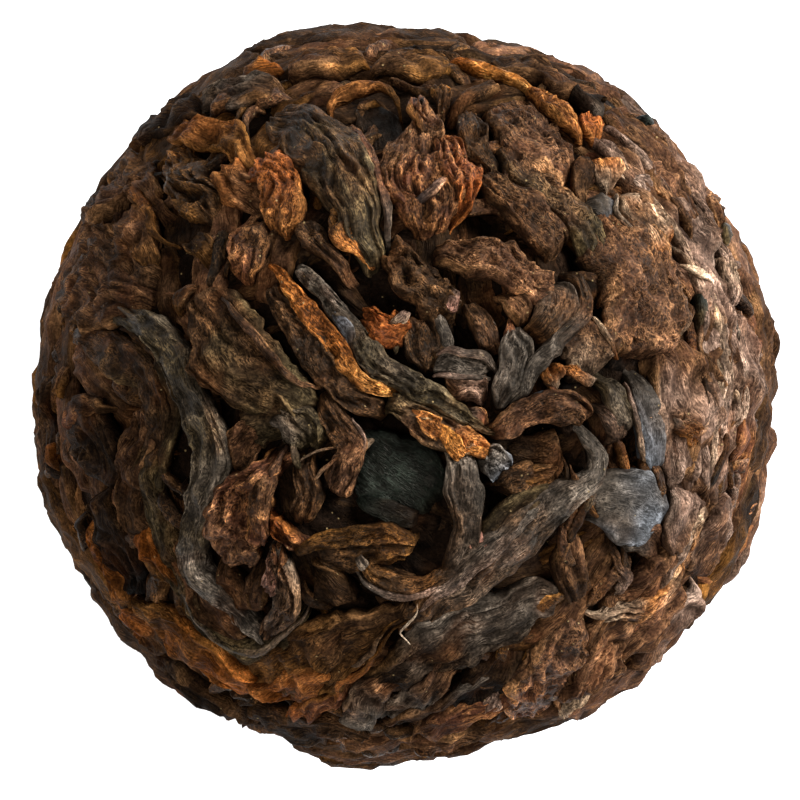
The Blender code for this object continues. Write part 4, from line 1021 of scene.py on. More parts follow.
        ((-0.9, -0.2, 0.05), (0.3, -0.6, 0.2), (1.2, -1.15, 0.3), (2.0, -1.55, 0.25),
         (2.9, -1.9, 0.05))),
    Row("gold_cluster", M.FLAKY, (H.AMBER, H.AMBER), (0.2, 0.5, 0.7, 0.4), 0.18,
        ((0.15, -0.4, 0.2), (0.6, -0.8, 0.36), (1.05, -1.2, 0.4), (1.45, -1.45, 0.25)), root=0.4,
        sink=(0.3, 0.2), blunt=0.14),
    Row("gold_shred", M.CRUMPLED, (H.GOLD, H.AMBER), (0.3, 0.55, 0.6, 0.3), 0.2,
        ((1.0, -1.05, 0.3), (1.4, -1.45, 0.45), (1.75, -1.8, 0.45), (2.1, -2.0, 0.2)), root=0.4,
        sink=(0.2, 0.2), blunt=0.12),
    Row("gold_fold", M.FLAKY, (H.CHESTNUT, H.AMBER), (0.3, 0.6, 0.5, 0.25), 0.2,
        ((1.5, -1.0, 0.2), (2.0, -1.35, 0.35), (2.5, -1.65, 0.35), (3.0, -1.9, 0.1)), root=0.4,
        sink=(0.2, 0.2), blunt=0.14),
    Row("gold_hem", M.FLAKY, (H.GOLD, H.AMBER), (0.2, 0.35, 0.2), 0.16,
        ((1.9, -1.75, 0.3), (2.4, -1.95, 0.38), (2.95, -2.1, 0.2)), root=0.3, sink=(0.2, 0.2),
        blunt=0.3),
    Row("rust_bud", M.CRUMPLED, (H.RUST, H.RUST), (0.8, 1.3, 1.2, 0.8), 0.4,
        ((-1.65, 2.75, 0.1), (-1.15, 2.55, 0.3), (-0.6, 2.5, 0.32), (0.0, 2.7, 0.2)),
        sink=(0.3, 0.05), blunt=0.1),
    Row("bud_tip", M.FIBROUS, (H.TAN, H.CLAY), (0.25, 0.35, 0.2), 0.22,
        ((-0.5, 2.4, 0.35), (-0.15, 2.65, 0.4), (0.15, 3.0, 0.3)), root=0.3, sink=(0.1, 0.1),
        blunt=0.08),
    Row("bud_hook", M.ROLLED, (H.BUFF, H.OLIVE), (0.15, 0.22, 0.15), 0.2,
        ((-0.35, 2.4, 0.2), (-0.25, 2.0, 0.2), (-0.3, 1.55, 0.1)), root=0.4, sink=(0.1, 0.1)),
    Row("thin_leaf", M.FIBROUS, (H.DARK, H.BROWN), (0.4, 0.7, 0.6, 0.4), 0.3,
        ((-3.9, 6.2, 0.05), (-3.1, 5.4, 0.2), (-2.3, 4.6, 0.2), (-1.6, 3.9, 0.0))),
    Row("left_strip", M.ROLLED, (H.OLIVE, H.GREY),
        (0.8, 1.0, 1.0, 0.9, 1.2, 1.3, 1.0, 0.8, 0.9, 0.8, 0.5), 0.45,
        ((-10.9, 2.95, 0.0), (-9.15, 2.7, 0.2), (-8.0, 1.4, 0.25), (-7.4, -0.15, 0.25),
         (-6.75, -1.9, 0.3), (-6.85, -3.2, 0.25), (-7.3, -4.6, 0.15), (-7.2, -6.1, 0.2),
         (-6.2, -7.0, 0.2), (-5.1, -8.1, 0.15), (-4.6, -8.6, 0.1)), sink=(0.8, 0.2)),
    Row("second_left_strip", M.BAND, (H.DARK, H.OLIVE), (0.3, 0.4, 0.4, 0.45, 0.35, 0.3), 0.35,
        ((-10.0, 2.5, 0.02), (-8.35, 1.35, 0.12), (-7.9, -0.1, 0.12), (-8.0, -1.35, 0.12),
         (-8.3, -2.4, 0.12), (-8.55, -3.65, 0.02))),
    Row("third_left_strip", M.PRESSED, (H.DARK, H.OLIVE),
        (0.9, 1.3, 1.3, 1.1, 0.8, 0.7, 0.7, 0.8, 0.9, 0.8, 0.6), 0.42,
        ((-11.3, 2.2, -0.08), (-10.0, 1.4, 0.07), (-8.9, 0.6, 0.12), (-8.4, -0.7, 0.12),
         (-8.75, -2.6, 0.07), (-8.5, -4.2, 0.02), (-7.95, -5.65, 0.07), (-7.1, -7.6, 0.12),
         (-5.8, -8.75, 0.17), (-4.4, -8.4, 0.12), (-3.3, -7.4, 0.02))),
    Row("turning_strip", M.FIBROUS, (H.BROWN, H.GREY), (0.6, 0.8, 0.8, 0.75, 0.6, 0.4), 0.4,
        ((-5.0, -8.4, 0.1), (-4.35, -7.7, 0.25), (-4.1, -7.0, 0.28), (-4.2, -6.2, 0.25),
         (-4.4, -5.5, 0.2), (-4.3, -4.7, 0.0)), sink=(0.3, 0.8)),
    Row("turn_hem", M.ROLLED, (H.OLIVE, H.BUFF), (0.1, 0.16, 0.18, 0.22, 0.2, 0.14, 0.08), 0.2,
        ((-7.85, -5.6, 0.1), (-7.4, -7.1, 0.2), (-6.6, -8.25, 0.3), (-5.7, -8.75, 0.35),
         (-4.7, -8.6, 0.35), (-3.8, -8.0, 0.3), (-3.3, -7.3, 0.1)), root=0.4, sink=(0.3, 0.4)),
    Row("outer_turn", M.BAND, (H.BROWN, H.DARK), (0.4, 0.8, 0.9, 0.8, 0.5), 0.35,
        ((-8.0, -4.6, 0.0), (-7.5, -5.9, 0.1), (-6.6, -7.2, 0.12), (-5.6, -8.0, 0.1),
         (-4.9, -8.3, 0.0))),
    Row("chestnut_strip", M.BAND, (H.BROWN, H.DARK), (0.7, 1.0, 1.0, 1.1, 0.9, 0.6), 0.35,
        ((-9.2, 0.1, -0.08), (-8.95, -0.9, 0.04), (-9.15, -2.1, 0.04), (-9.35, -3.4, 0.02),
         (-9.1, -4.6, -0.03), (-8.8, -5.4, -0.08))),
    Row("amber_band", M.BAND, (H.SIENNA, H.UMBER), (0.5, 0.7, 0.6, 0.4), 0.32,
        ((-9.3, -4.1, 0.05), (-8.9, -5.0, 0.15), (-8.35, -5.9, 0.15), (-7.95, -6.9, 0.0))),
    Row("amber_ridge", M.BAND, (H.SIENNA, H.UMBER), (0.3, 0.5, 0.6, 0.7, 0.5), 0.3,
        ((-11.0, -3.9, 0.05), (-10.6, -4.9, 0.15), (-10.1, -5.9, 0.15), (-9.6, -6.8, 0.1),
         (-9.2, -7.6, 0.0))),
    Row("amber_sweep", M.BAND, (H.UMBER, H.SIENNA), (0.8, 1.4, 1.6, 1.5, 0.7), 0.4,
        ((-9.5, -7.2, 0.0), (-8.3, -7.9, 0.15), (-7.0, -8.9, 0.2), (-5.9, -9.7, 0.2),
         (-4.9, -10.4, 0.05))),
    Row("amber_shore", M.BAND, (H.SIENNA, H.AMBER), (0.4, 0.8, 0.9, 0.8, 0.4), 0.3,
        ((-6.0, -9.6, 0.1), (-5.0, -10.1, 0.25), (-3.9, -10.0, 0.3), (-2.9, -9.7, 0.28),
         (-2.0, -9.2, 0.1))),
    Row("bottom_leaf", M.BAND, (H.UMBER, H.DARK), (0.9, 1.9, 2.0, 1.5, 1.0, 0.5), 0.42,
        ((-5.4, -9.9, 0.0), (-4.3, -9.5, 0.15), (-3.0, -9.0, 0.2), (-1.8, -8.4, 0.2),
         (-0.7, -7.7, 0.2), (0.5, -6.9, 0.0))),
    Row("bottom_leaf_hem", M.BAND, (H.AMBER, H.UMBER), (0.08, 0.16, 0.16, 0.15, 0.12, 0.06), 0.16,
        ((-2.5, -10.8, 0.1), (-2.1, -9.9, 0.25), (-1.5, -9.45, 0.3), (-1.0, -8.7, 0.36),
         (-0.3, -8.0, 0.36), (0.5, -7.6, 0.3)), root=0.3, sink=(0.2, 0.2)),
    Row("second_hem", M.BAND, (H.BUFF, H.UMBER), (0.06, 0.12, 0.12, 0.08), 0.14,
        ((-1.9, -9.3, 0.3), (-1.3, -8.8, 0.38), (-0.8, -8.2, 0.38), (-0.2, -7.7, 0.3)),
        root=0.3, sink=(0.2, 0.2)),
    Row("lower_left_leaf", M.BAND, (H.SIENNA, H.DARK), (0.9, 1.3, 0.9), 0.38,
        ((-9.9, -7.0, 0.0), (-9.0, -8.0, 0.1), (-7.9, -9.2, 0.0))),
    Row("lower_left_rim", M.BAND, (H.CHAR, H.DARK), (0.8, 1.2, 1.1, 0.9), 0.38,
        ((-8.9, -8.6, 0.0), (-7.5, -9.9, 0.1), (-6.2, -10.7, 0.1), (-4.9, -11.3, 0.0))),
    Row("dusk_leaf", M.BAND, (H.CHAR, H.PITCH), (0.9, 1.4, 1.3, 0.8), 0.38,
        ((-10.6, -3.0, 0.0), (-10.2, -4.5, 0.05), (-9.5, -6.0, 0.05), (-9.0, -7.1, 0.0))),
    Row("pocket_lobe", M.BAND, (H.CHAR, H.CHAR), (0.9, 1.9, 1.9, 1.3), 0.5,
        ((-11.5, -0.6, 0.0), (-11.0, -1.3, 0.1), (-10.6, -2.2, 0.1), (-10.5, -3.4, 0.0))),
    Row("pocket_arch", M.BAND, (H.RUSSET, H.DARK), (0.3, 0.5, 0.5, 0.3), 0.3,
        ((-11.8, -1.2, 0.1), (-11.2, -0.45, 0.25), (-10.5, -0.35, 0.25), (-9.9, -0.8, 0.1))),
    Row("left_cheek", M.BAND, (H.DARK, H.BROWN), (1.0, 1.8, 1.9, 1.2), 0.4,
        ((-11.9, 3.6, 0.0), (-11.0, 3.7, 0.1), (-9.8, 3.6, 0.1), (-8.6, 3.5, 0.0))),
    Row("left_brow", M.BAND, (H.BROWN, H.DARK), (0.9, 1.5, 1.4, 0.9), 0.4,
        ((-11.4, 5.0, 0.0), (-10.4, 4.9, 0.1), (-9.2, 4.6, 0.1), (-8.2, 4.2, 0.0))),
    Row("left_edge_strip", M.BAND, (H.DARK, H.PITCH), (0.5, 0.9, 0.9, 0.6), 0.3,
        ((-12.2, 1.0, 0.0), (-12.3, -0.4, 0.05), (-12.1, -1.8, 0.05), (-11.8, -3.2, 0.0))),
    Row("left_edge_patch", M.BAND, (H.BROWN, H.UMBER), (0.3, 0.6, 0.4), 0.25,
        ((-11.75, 1.3, 0.05), (-11.85, 0.6, 0.12), (-11.9, -0.1, 0.05)), sink=(0.3, 0.3)),
    Row("left_edge_glow", M.BAND, (H.SIENNA, H.UMBER), (0.25, 0.5, 0.3), 0.25,
        ((-12.15, -1.4, 0.1), (-12.05, -1.9, 0.15), (-11.95, -2.5, 0.1)), sink=(0.2, 0.2)),
    Row("small_flake", M.BAND, (H.BROWN, H.UMBER), (0.6, 1.1, 1.0, 0.4), 0.35,
        ((-9.7, 6.4, 0.0), (-9.2, 5.6, 0.2), (-8.8, 4.9, 0.2), (-8.4, 4.1, 0.0))),
    Row("shoulder_leaf", M.BAND, (H.DARK, H.BROWN), (0.9, 1.5, 1.4, 0.8), 0.4,
        ((-10.9, 6.2, 0.0), (-10.2, 6.7, 0.1), (-9.3, 7.2, 0.1), (-8.4, 7.6, 0.0))),
    Row("left_broad_leaf", M.PRESSED, (H.DARK, H.OLIVE), (0.9, 2.0, 2.3, 2.0, 1.5, 0.9), 0.5,
        ((-7.2, 3.8, 0.0), (-6.6, 2.5, 0.25), (-5.8, 1.3, 0.35), (-4.8, 0.4, 0.3),
         (-3.9, -0.2, 0.25), (-3.0, -0.8, 0.1)), lean=0.1),
    Row("broad_leaf_crest", M.ROLLED, (H.DARK, H.BROWN), (0.15, 0.26, 0.28, 0.26, 0.15), 0.26,
        ((-6.4, 3.5, 0.2), (-5.5, 2.5, 0.45), (-4.7, 1.5, 0.45), (-3.9, 0.7, 0.4),
         (-2.9, 0.1, 0.2)), root=0.3, sink=(0.3, 0.3)),
    Row("broad_leaf_tip", M.FIBROUS, (H.DARK, H.UMBER), (0.25, 0.35, 0.25), 0.25,
        ((-7.2, 4.0, 0.2), (-7.6, 3.4, 0.15), (-7.9, 2.6, 0.0)), sink=(0.2, 0.5)),
    Row("folded_lobe", M.CUPPED, (H.DARK, H.OLIVE), (0.8, 1.5, 1.6, 0.9), 0.42,
        ((-6.0, -0.9, 0.0), (-5.2, -0.7, 0.15), (-4.3, -0.9, 0.2), (-3.6, -1.6, 0.0))),
    Row("torn_lobe", M.CRUMPLED, (H.GREY, H.OLIVE), (0.7, 1.2, 1.3, 0.8), 0.4,
        ((-4.6, -0.3, 0.1), (-4.1, -0.9, 0.3), (-3.6, -1.5, 0.3), (-3.4, -2.3, 0.1)), blunt=0.12),
    Row("torn_lobe_hook", M.FIBROUS, (H.TAN, H.OLIVE), (0.2, 0.3, 0.2), 0.22,
        ((-3.9, -1.6, 0.35), (-3.7, -2.2, 0.35), (-3.5, -2.7, 0.1)), root=0.3, sink=(0.2, 0.4)),
    Row("russet_leaf", M.CRUMPLED, (H.RUSSET, H.CHESTNUT), (0.7, 1.6, 2.0, 1.7, 0.6), 0.5,
        ((-4.1, -2.0, 0.1), (-5.05, -2.85, 0.25), (-5.7, -3.85, 0.35), (-5.95, -4.9, 0.3),
         (-5.7, -6.25, 0.0)), blunt=0.14),
    Row("russet_fold", M.CRUMPLED, (H.BROWN, H.RUSSET), (0.4, 0.7, 0.7, 0.4), 0.35,
        ((-4.3, -2.4, 0.3), (-4.9, -3.4, 0.5), (-5.1, -4.4, 0.5), (-5.2, -5.4, 0.1)), root=0.5),
    Row("russet_hem", M.ROLLED, (H.CHESTNUT, H.RUSSET), (0.2, 0.3, 0.3, 0.2), 0.25,
        ((-4.1, -1.9, 0.3), (-4.5, -2.8, 0.4), (-4.8, -3.5, 0.35), (-4.7, -4.2, 0.2)), root=0.3,
        sink=(0.2, 0.4)),
    Row("brown_fold", M.PRESSED, (H.DARK, H.BROWN), (0.6, 1.1, 1.0, 0.6), 0.35,
        ((-6.3, -2.8, 0.0), (-5.8, -1.9, 0.15), (-5.1, -1.3, 0.15), (-4.3, -1.2, 0.05))),
    Row("russet_beard", M.CRUMPLED, (H.RUSSET, H.PINK), (0.4, 0.7, 0.6, 0.4), 0.3,
        ((-4.6, -4.7, 0.1), (-4.3, -5.4, 0.2), (-4.6, -6.1, 0.1), (-4.9, -6.9, 0.0)), blunt=0.12),
    Row("charcoal_leaf", M.FIBROUS, (H.DARK, H.DARK), (0.6, 0.9, 0.9, 0.5), 0.38,
        ((-3.7, -1.9, 0.1), (-3.4, -2.8, 0.2), (-3.4, -3.7, 0.15), (-3.7, -4.7, 0.0))),
    Row("orange_chip", M.CRUMPLED, (H.RUST, H.RUSSET), (0.4, 0.75, 0.7, 0.4), 0.3,
        ((-4.5, -3.9, 0.1), (-4.25, -4.4, 0.3), (-3.9, -4.8, 0.25), (-3.6, -5.2, 0.1)),
        sink=(0.3, 0.3), blunt=0.1),
    Row("tail_leaf", M.FIBROUS, (H.DARK, H.CHESTNUT), (0.6, 0.9, 0.95, 0.8, 0.9, 0.5), 0.38,
        ((-3.1, 0.0, 0.1), (-2.3, -0.8, 0.3), (-1.85, -1.6, 0.35), (-2.0, -2.4, 0.3),
         (-2.35, -3.0, 0.25), (-2.6, -3.7, 0.05)), blunt=0.14),
    Row("tail_hem", M.ROLLED, (H.CLAY, H.RUSSET), (0.08, 0.14, 0.14, 0.08), 0.16,
        ((-1.9, -0.7, 0.3), (-1.5, -1.3, 0.45), (-1.55, -2.1, 0.4), (-2.0, -2.9, 0.3)), root=0.3,
        sink=(0.2, 0.2)),
    Row("thin_stem", M.ROLLED, (H.TAN, H.BROWN), (0.06, 0.1, 0.08), 0.09,
        ((-3.6, -2.3, 0.15), (-3.0, -1.95, 0.28), (-2.2, -1.75, 0.3)), root=0.2, sink=(0.1, 0.1)),
    Row("second_stem", M.ROLLED, (H.TAN, H.AMBER), (0.06, 0.12, 0.08), 0.1,
        ((-3.2, -3.0, 0.15), (-2.7, -2.5, 0.32), (-2.1, -2.1, 0.35)), root=0.2, sink=(0.1, 0.1)),
    Row("pale_strip", M.PRESSED, (H.DARK, H.BROWN), (0.4, 0.7, 0.7, 0.4), 0.35,
        ((-5.2, -5.6, 0.0), (-5.1, -6.3, 0.1), (-5.2, -7.0, 0.1), (-5.1, -7.8, 0.0))),
    Row("side_strip", M.PRESSED, (H.DARK, H.BROWN), (0.5, 0.8, 0.8, 0.5), 0.35,
        ((-6.5, -5.5, 0.0), (-6.2, -6.3, 0.1), (-5.6, -7.0, 0.1), (-5.2, -7.8, 0.0))),
    Row("belly_leaf", M.FIBROUS, (H.DARK, H.UMBER), (0.6, 1.2, 1.4, 1.3, 0.7), 0.32,
        ((-3.4, -5.5, -0.1), (-2.3, -5.35, 0.0), (-1.2, -5.3, 0.05), (-0.2, -5.3, 0.05),
         (0.6, -5.6, -0.1))),
    Row("belly_hem", M.FIBROUS, (H.UMBER, H.UMBER), (0.3, 0.5, 0.55, 0.5, 0.3), 0.28,
        ((-4.0, -5.6, 0.0), (-3.0, -5.1, 0.15), (-1.9, -4.8, 0.2), (-0.6, -4.7, 0.2),
         (0.4, -5.2, 0.0)), root=0.4),
    Row("down_strip", M.ROLLED, (H.GREY, H.DARK), (1.0, 1.15, 1.15, 1.05, 0.9, 0.6, 0.4), 0.45,
        ((1.8, -1.5, 0.1), (1.95, -2.8, 0.35), (2.05, -4.0, 0.35), (2.05, -4.9, 0.32),
         (1.9, -5.6, 0.28), (1.55, -6.1, 0.2), (1.05, -6.4, 0.05)), sink=(1.1, 0.4)),
    Row("curl_ring", M.FIBROUS, (H.DARK, H.UMBER), (0.3, 0.45, 0.5, 0.5, 0.45, 0.3), 0.3,
        ((1.75, -5.85, 0.15), (1.1, -6.35, 0.2), (0.3, -6.6, 0.22), (-0.5, -6.55, 0.22),
         (-1.2, -6.15, 0.2), (-1.65, -5.5, 0.05)), root=0.5, sink=(0.4, 0.5)),
    Row("curl_rim", M.ROLLED, (H.CLAY, H.GREY), (0.08, 0.16, 0.18, 0.18, 0.14, 0.08), 0.2,
        ((1.8, -6.1, 0.2), (1.2, -6.65, 0.28), (0.3, -6.9, 0.3), (-0.6, -6.85, 0.3),
         (-1.35, -6.4, 0.28), (-1.8, -5.8, 0.1)), root=0.4, sink=(0.3, 0.3)),
    Row("curl_end", M.ROLLED, (H.GREY, H.DARK), (0.2, 0.35, 0.25), 0.14,
        ((-1.1, -6.1, 0.15), (-1.45, -5.8, 0.25), (-1.75, -5.3, 0.05)), root=0.4, sink=(0.3, 0.5)),
    Row("under_curl_leaf", M.PRESSED, (H.CHAR, H.DARK), (0.7, 1.3, 1.2, 0.7), 0.35,
        ((-3.6, -6.3, -0.1), (-2.9, -6.4, 0.0), (-2.3, -6.9, 0.0), (-2.0, -7.6, -0.1))),
    Row("pink_crumb", M.CRUMPLED, (H.PINK, H.RUSSET), (0.3, 0.55, 0.3), 0.25,
        ((2.3, -4.9, 0.1), (2.55, -5.2, 0.2), (2.6, -5.6, 0.1)), sink=(0.2, 0.2), blunt=0.1),
    Row("long_strip", M.ROLLED, (H.GREY, H.DARK),
        (0.5, 0.7, 0.85, 1.1, 1.4, 1.5, 1.4, 1.1, 0.6), 0.48,
        ((6.2, -0.9, 0.05), (6.8, -1.9, 0.2), (6.6, -2.85, 0.3), (5.6, -3.6, 0.3),
         (4.6, -4.4, 0.3), (3.4, -5.4, 0.35), (2.2, -6.4, 0.3), (1.0, -7.3, 0.2), (-0.4, -8.1, 0.0))),
    Row("long_strip_crest", M.ROLLED, (H.GREY, H.CLAY), (0.2, 0.35, 0.4, 0.35, 0.2), 0.3,
        ((4.9, -3.7, 0.3), (3.8, -4.7, 0.6), (2.6, -5.7, 0.6), (1.5, -6.7, 0.5), (0.3, -7.6, 0.2)),
        root=0.3, sink=(0.3, 0.3)),
    Row("inner_strip", M.PRESSED, (H.OLIVE, H.CHAR), (0.6, 0.9, 0.9, 0.6), 0.38,
        ((5.5, -3.0, -0.1), (4.3, -3.8, 0.1), (3.2, -4.6, 0.1), (2.4, -5.4, 0.0))),
    Row("third_strip", M.ROLLED, (H.CHAR, H.DARK), (0.4, 0.7, 0.7, 0.5), 0.35,
        ((2.6, -5.9, 0.0), (1.7, -6.7, 0.1), (0.5, -7.4, 0.1), (-0.6, -7.5, 0.0))),
    Row("rusty_shelf", M.PRESSED, (H.UMBER, H.DARK), (0.5, 0.8, 0.7, 0.4), 0.3,
        ((3.2, -3.2, -0.3), (4.0, -3.0, -0.2), (4.9, -2.8, -0.2), (5.7, -2.5, -0.3))),
    Row("hollow_leaf", M.PRESSED, (H.CHAR, H.DARK), (0.9, 1.5, 1.4, 0.8), 0.3,
        ((3.0, -2.0, -0.8), (4.0, -2.1, -0.7), (5.0, -2.0, -0.6), (5.8, -1.7, -0.7))),
    Row("green_leaf", M.SMOOTH, (H.GREEN, H.GREEN), (1.4, 2.4, 2.9, 2.6, 1.6), 0.3,
        ((-2.0, -1.5, -0.8), (-1.1, -2.2, -0.68), (-0.2, -2.8, -0.66), (0.7, -3.4, -0.72),
         (1.5, -3.9, -0.95)), sink=(0.4, 0.5), blunt=0.3),
    Row("green_leaf_fold", M.SMOOTH, (H.GREEN, H.CHAR), (0.4, 0.7, 0.7, 0.4), 0.25,
        ((-1.9, -3.3, -0.75), (-1.0, -3.9, -0.6), (0.0, -4.2, -0.6), (1.0, -4.3, -0.8))),
    Row("green_leaf_hem", M.ROLLED, (H.TAN, H.TAN), (0.15, 0.25, 0.15), 0.18,
        ((-1.7, -1.9, -0.3), (-1.35, -1.7, -0.2), (-0.95, -1.4, -0.3)), root=0.4, sink=(0.1, 0.1)),
    Row("slate_chip", M.CRUMPLED, (H.GREY, H.SLATE), (0.5, 1.0, 0.9, 0.4), 0.25,
        ((2.5, -1.8, 0.0), (2.9, -2.2, 0.0), (3.3, -2.6, -0.1), (3.7, -2.9, -0.3)),
        sink=(0.3, 0.3), blunt=0.1),
    Row("chip_shadow_leaf", M.FIBROUS, (H.DARK, H.DARK), (0.5, 1.0, 0.9, 0.5), 0.3,
        ((3.0, -3.6, -0.3), (3.5, -3.1, -0.2), (4.2, -2.6, -0.2), (4.8, -2.1, -0.3))),
    Row("slate_bar", M.SMOOTH, (H.GREY, H.SLATE), (0.7, 0.95, 1.0, 1.0, 0.6), 0.3,
        ((8.0, 0.9, 0.05), (8.25, 0.0, 0.25), (8.5, -1.0, 0.3), (8.6, -2.0, 0.25), (8.55, -3.0, 0.05)),
        sink=(0.6, 0.6), blunt=0.16),
    Row("slate_bar_hem", M.ROLLED, (H.CLAY, H.TAN), (0.08, 0.12, 0.12, 0.08), 0.12,
        ((7.75, 0.5, 0.25), (7.9, -0.6, 0.4), (8.1, -1.6, 0.4), (8.25, -2.6, 0.2)), root=0.3,
        sink=(0.2, 0.2)),
    Row("bar_neighbour", M.ROLLED, (H.OLIVE, H.GREY), (0.5, 0.75, 0.7, 0.4), 0.35,
        ((6.9, 0.9, 0.1), (7.2, 0.2, 0.25), (7.5, -0.6, 0.25), (7.8, -1.6, 0.0))),
    Row("bar_shred", M.FIBROUS, (H.BROWN, H.DARK), (0.3, 0.45, 0.25), 0.25,
        ((8.5, -2.4, 0.3), (8.75, -2.95, 0.35), (8.9, -3.6, 0.1)), root=0.3, sink=(0.2, 0.3)),
    Row("gold_lining", M.FLAKY, (H.BROWN, H.AMBER), (0.12, 0.22, 0.22, 0.12), 0.14,
        ((7.25, -1.4, -0.1), (7.4, -1.9, 0.0), (7.5, -2.4, 0.0), (7.6, -2.9, -0.1)),
        root=0.4, sink=(0.1, 0.1), blunt=0.2),
    Row("lining_strip", M.ROLLED, (H.DARK, H.CLAY), (0.3, 0.5, 0.5, 0.3), 0.28,
        ((6.4, -0.1, 0.05), (7.0, -0.6, 0.15), (7.3, -1.3, 0.1), (7.3, -2.1, -0.1))),
    Row("slate_plate", M.SMOOTH, (H.GREY, H.SLATE), (1.0, 2.0, 2.4, 2.1, 1.2), 0.3,
        ((5.9, -3.9, 0.05), (6.8, -3.7, 0.25), (7.6, -3.75, 0.3), (8.3, -4.0, 0.25), (9.0, -4.5, 0.0)),
        sink=(0.6, 0.6), blunt=0.2),
    Row("plate_fold", M.ROLLED, (H.GREY, H.OLIVE), (0.3, 0.5, 0.4), 0.3,
        ((6.9, -3.0, 0.1), (6.3, -3.7, 0.2), (5.9, -4.4, 0.05))),
    Row("chin_leaf", M.BAND, (H.GREY, H.CHESTNUT), (0.5, 0.9, 0.8, 0.5), 0.35,
        ((6.9, -4.7, 0.0), (7.6, -4.8, 0.1), (8.3, -5.1, 0.15), (8.9, -5.6, 0.0))),
    Row("pocket_wall", M.PRESSED, (H.BROWN, H.DARK), (0.5, 0.9, 0.9, 0.6), 0.38,
        ((6.3, -4.7, 0.0), (5.8, -5.5, 0.1), (5.8, -6.4, 0.1), (6.2, -7.2, 0.0))),
    Row("curl", M.FLAKY, (H.BROWN, H.CLAY), (0.2, 0.35, 0.4, 0.35, 0.2), 0.28,
        ((7.0, -4.9, -0.2), (7.3, -5.6, 0.0), (7.5, -6.3, 0.0), (7.3, -6.9, -0.1), (6.7, -7.1, -0.3)),
        sink=(0.3, 0.4)),
    Row("round_leaf", M.FLAKY, (H.UMBER, H.BROWN), (0.6, 1.0, 0.7), 0.3,
        ((6.2, -6.1, -0.5), (6.7, -6.5, -0.3), (7.1, -6.8, -0.5)), sink=(0.2, 0.2)),
    Row("tan_ridge", M.SHEET, (H.BUFF, H.AMBER), (0.2, 0.6, 0.85, 0.8, 0.6, 0.3), 0.16,
        ((6.2, -7.9, 0.05), (7.2, -7.55, 0.2), (8.1, -7.3, 0.25), (8.9, -6.8, 0.25),
         (9.4, -6.1, 0.22), (9.8, -5.3, 0.05)), blunt=0.4),
    Row("lower_dark_leaf", M.BAND, (H.GREY, H.CHAR), (0.8, 1.5, 1.8, 1.7, 1.4, 0.8), 0.5,
        ((5.6, -6.8, 0.0), (4.3, -7.2, 0.2), (2.9, -7.9, 0.25), (1.5, -8.6, 0.25), (0.1, -9.4, 0.2),
         (-1.3, -10.2, 0.0))),
    Row("lower_fold", M.BAND, (H.BROWN, H.GREY), (0.4, 0.85, 0.9, 0.7, 0.4), 0.28,
        ((2.4, -8.2, 0.05), (1.7, -9.0, 0.2), (0.9, -9.8, 0.22), (0.0, -10.5, 0.15), (-0.9, -11.2, 0.0))),
    Row("lower_slab", M.BAND, (H.CHAR, H.PITCH), (0.9, 1.5, 1.4, 0.9), 0.38,
        ((4.2, -8.5, -0.1), (3.4, -9.4, 0.0), (2.6, -10.2, 0.0), (1.8, -11.0, -0.1))),
    Row("slab_hem", M.BAND, (H.RUSSET, H.BROWN), (0.4, 0.8, 0.85, 0.7, 0.4), 0.3,
        ((3.9, -9.8, 0.05), (3.0, -10.5, 0.15), (2.0, -11.0, 0.15), (1.0, -11.4, 0.12),
         (-0.1, -11.9, 0.0))),
    Row("lower_chip", M.SHEET, (H.CLAY, H.RUSSET), (0.34, 0.75, 0.46), 0.25,
        ((3.5, -10.1, 0.1), (3.0, -10.5, 0.25), (2.6, -10.9, 0.1)), sink=(0.4, 0.4)),
    Row("thin_fold", M.BAND, (H.GREY, H.BROWN), (0.15, 0.3, 0.3, 0.25, 0.15), 0.28,
        ((3.4, -9.2, 0.05), (2.3, -9.9, 0.18), (1.3, -10.6, 0.18), (0.2, -11.1, 0.15),
         (-0.9, -11.4, 0.0))),
    Row("bottom_band", M.BAND, (H.DARK, H.BROWN), (0.5, 0.9, 0.9, 0.6), 0.35,
        ((3.4, -11.3, 0.0), (2.1, -11.7, 0.1), (0.8, -11.8, 0.1), (-0.5, -12.0, 0.0))),
    Row("bottom_rim", M.BAND, (H.CHAR, H.DARK), (0.9, 1.4, 1.4, 1.0), 0.4,
        ((-5.2, -10.9, 0.0), (-3.9, -11.3, 0.1), (-2.4, -11.5, 0.1), (-0.9, -11.7, 0.0))),
    Row("bottom_flake", M.BAND, (H.SIENNA, H.RUSSET), (0.3, 0.7, 0.7, 0.4), 0.3,
        ((-4.1, -11.2, 0.0), (-3.3, -10.9, 0.15), (-2.5, -10.4, 0.18), (-1.7, -9.8, 0.0))),
    Row("grey_tab", M.BAND, (H.BROWN, H.GREY), (0.5, 0.9, 1.0, 0.6), 0.3,
        ((-0.1, -9.1, 0.0), (-0.8, -9.9, 0.15), (-1.5, -10.7, 0.15), (-2.3, -11.4, 0.0))),
    Row("fibrous_leaf", M.FLAKY, (H.CHESTNUT, H.RUSSET), (0.9, 1.7, 2.0, 1.8, 1.0), 0.38,
        ((6.3, -7.4, 0.0), (5.7, -8.4, 0.15), (5.1, -9.4, 0.2), (4.5, -10.3, 0.12), (3.9, -11.1, 0.0))),
    Row("second_fibrous_leaf", M.BAND, (H.CHESTNUT, H.BROWN), (0.7, 1.4, 1.5, 1.0), 0.36,
        ((7.7, -8.0, 0.0), (7.0, -9.0, 0.15), (6.2, -9.9, 0.15), (5.4, -10.8, 0.0))),
    # A near-black sheet in the pocket: its colour paints the pocket's shade
    Row("lower_pocket", M.BAND, (H.PITCH, H.CHAR), (0.5, 0.9, 0.6), 0.3,
        ((6.9, -8.4, -0.15), (7.5, -8.2, -0.1), (8.2, -8.4, -0.15))),
    Row("tan_patch", M.SHEET, (H.TAN, H.TAN), (0.34, 0.69, 0.57, 0.34), 0.25,
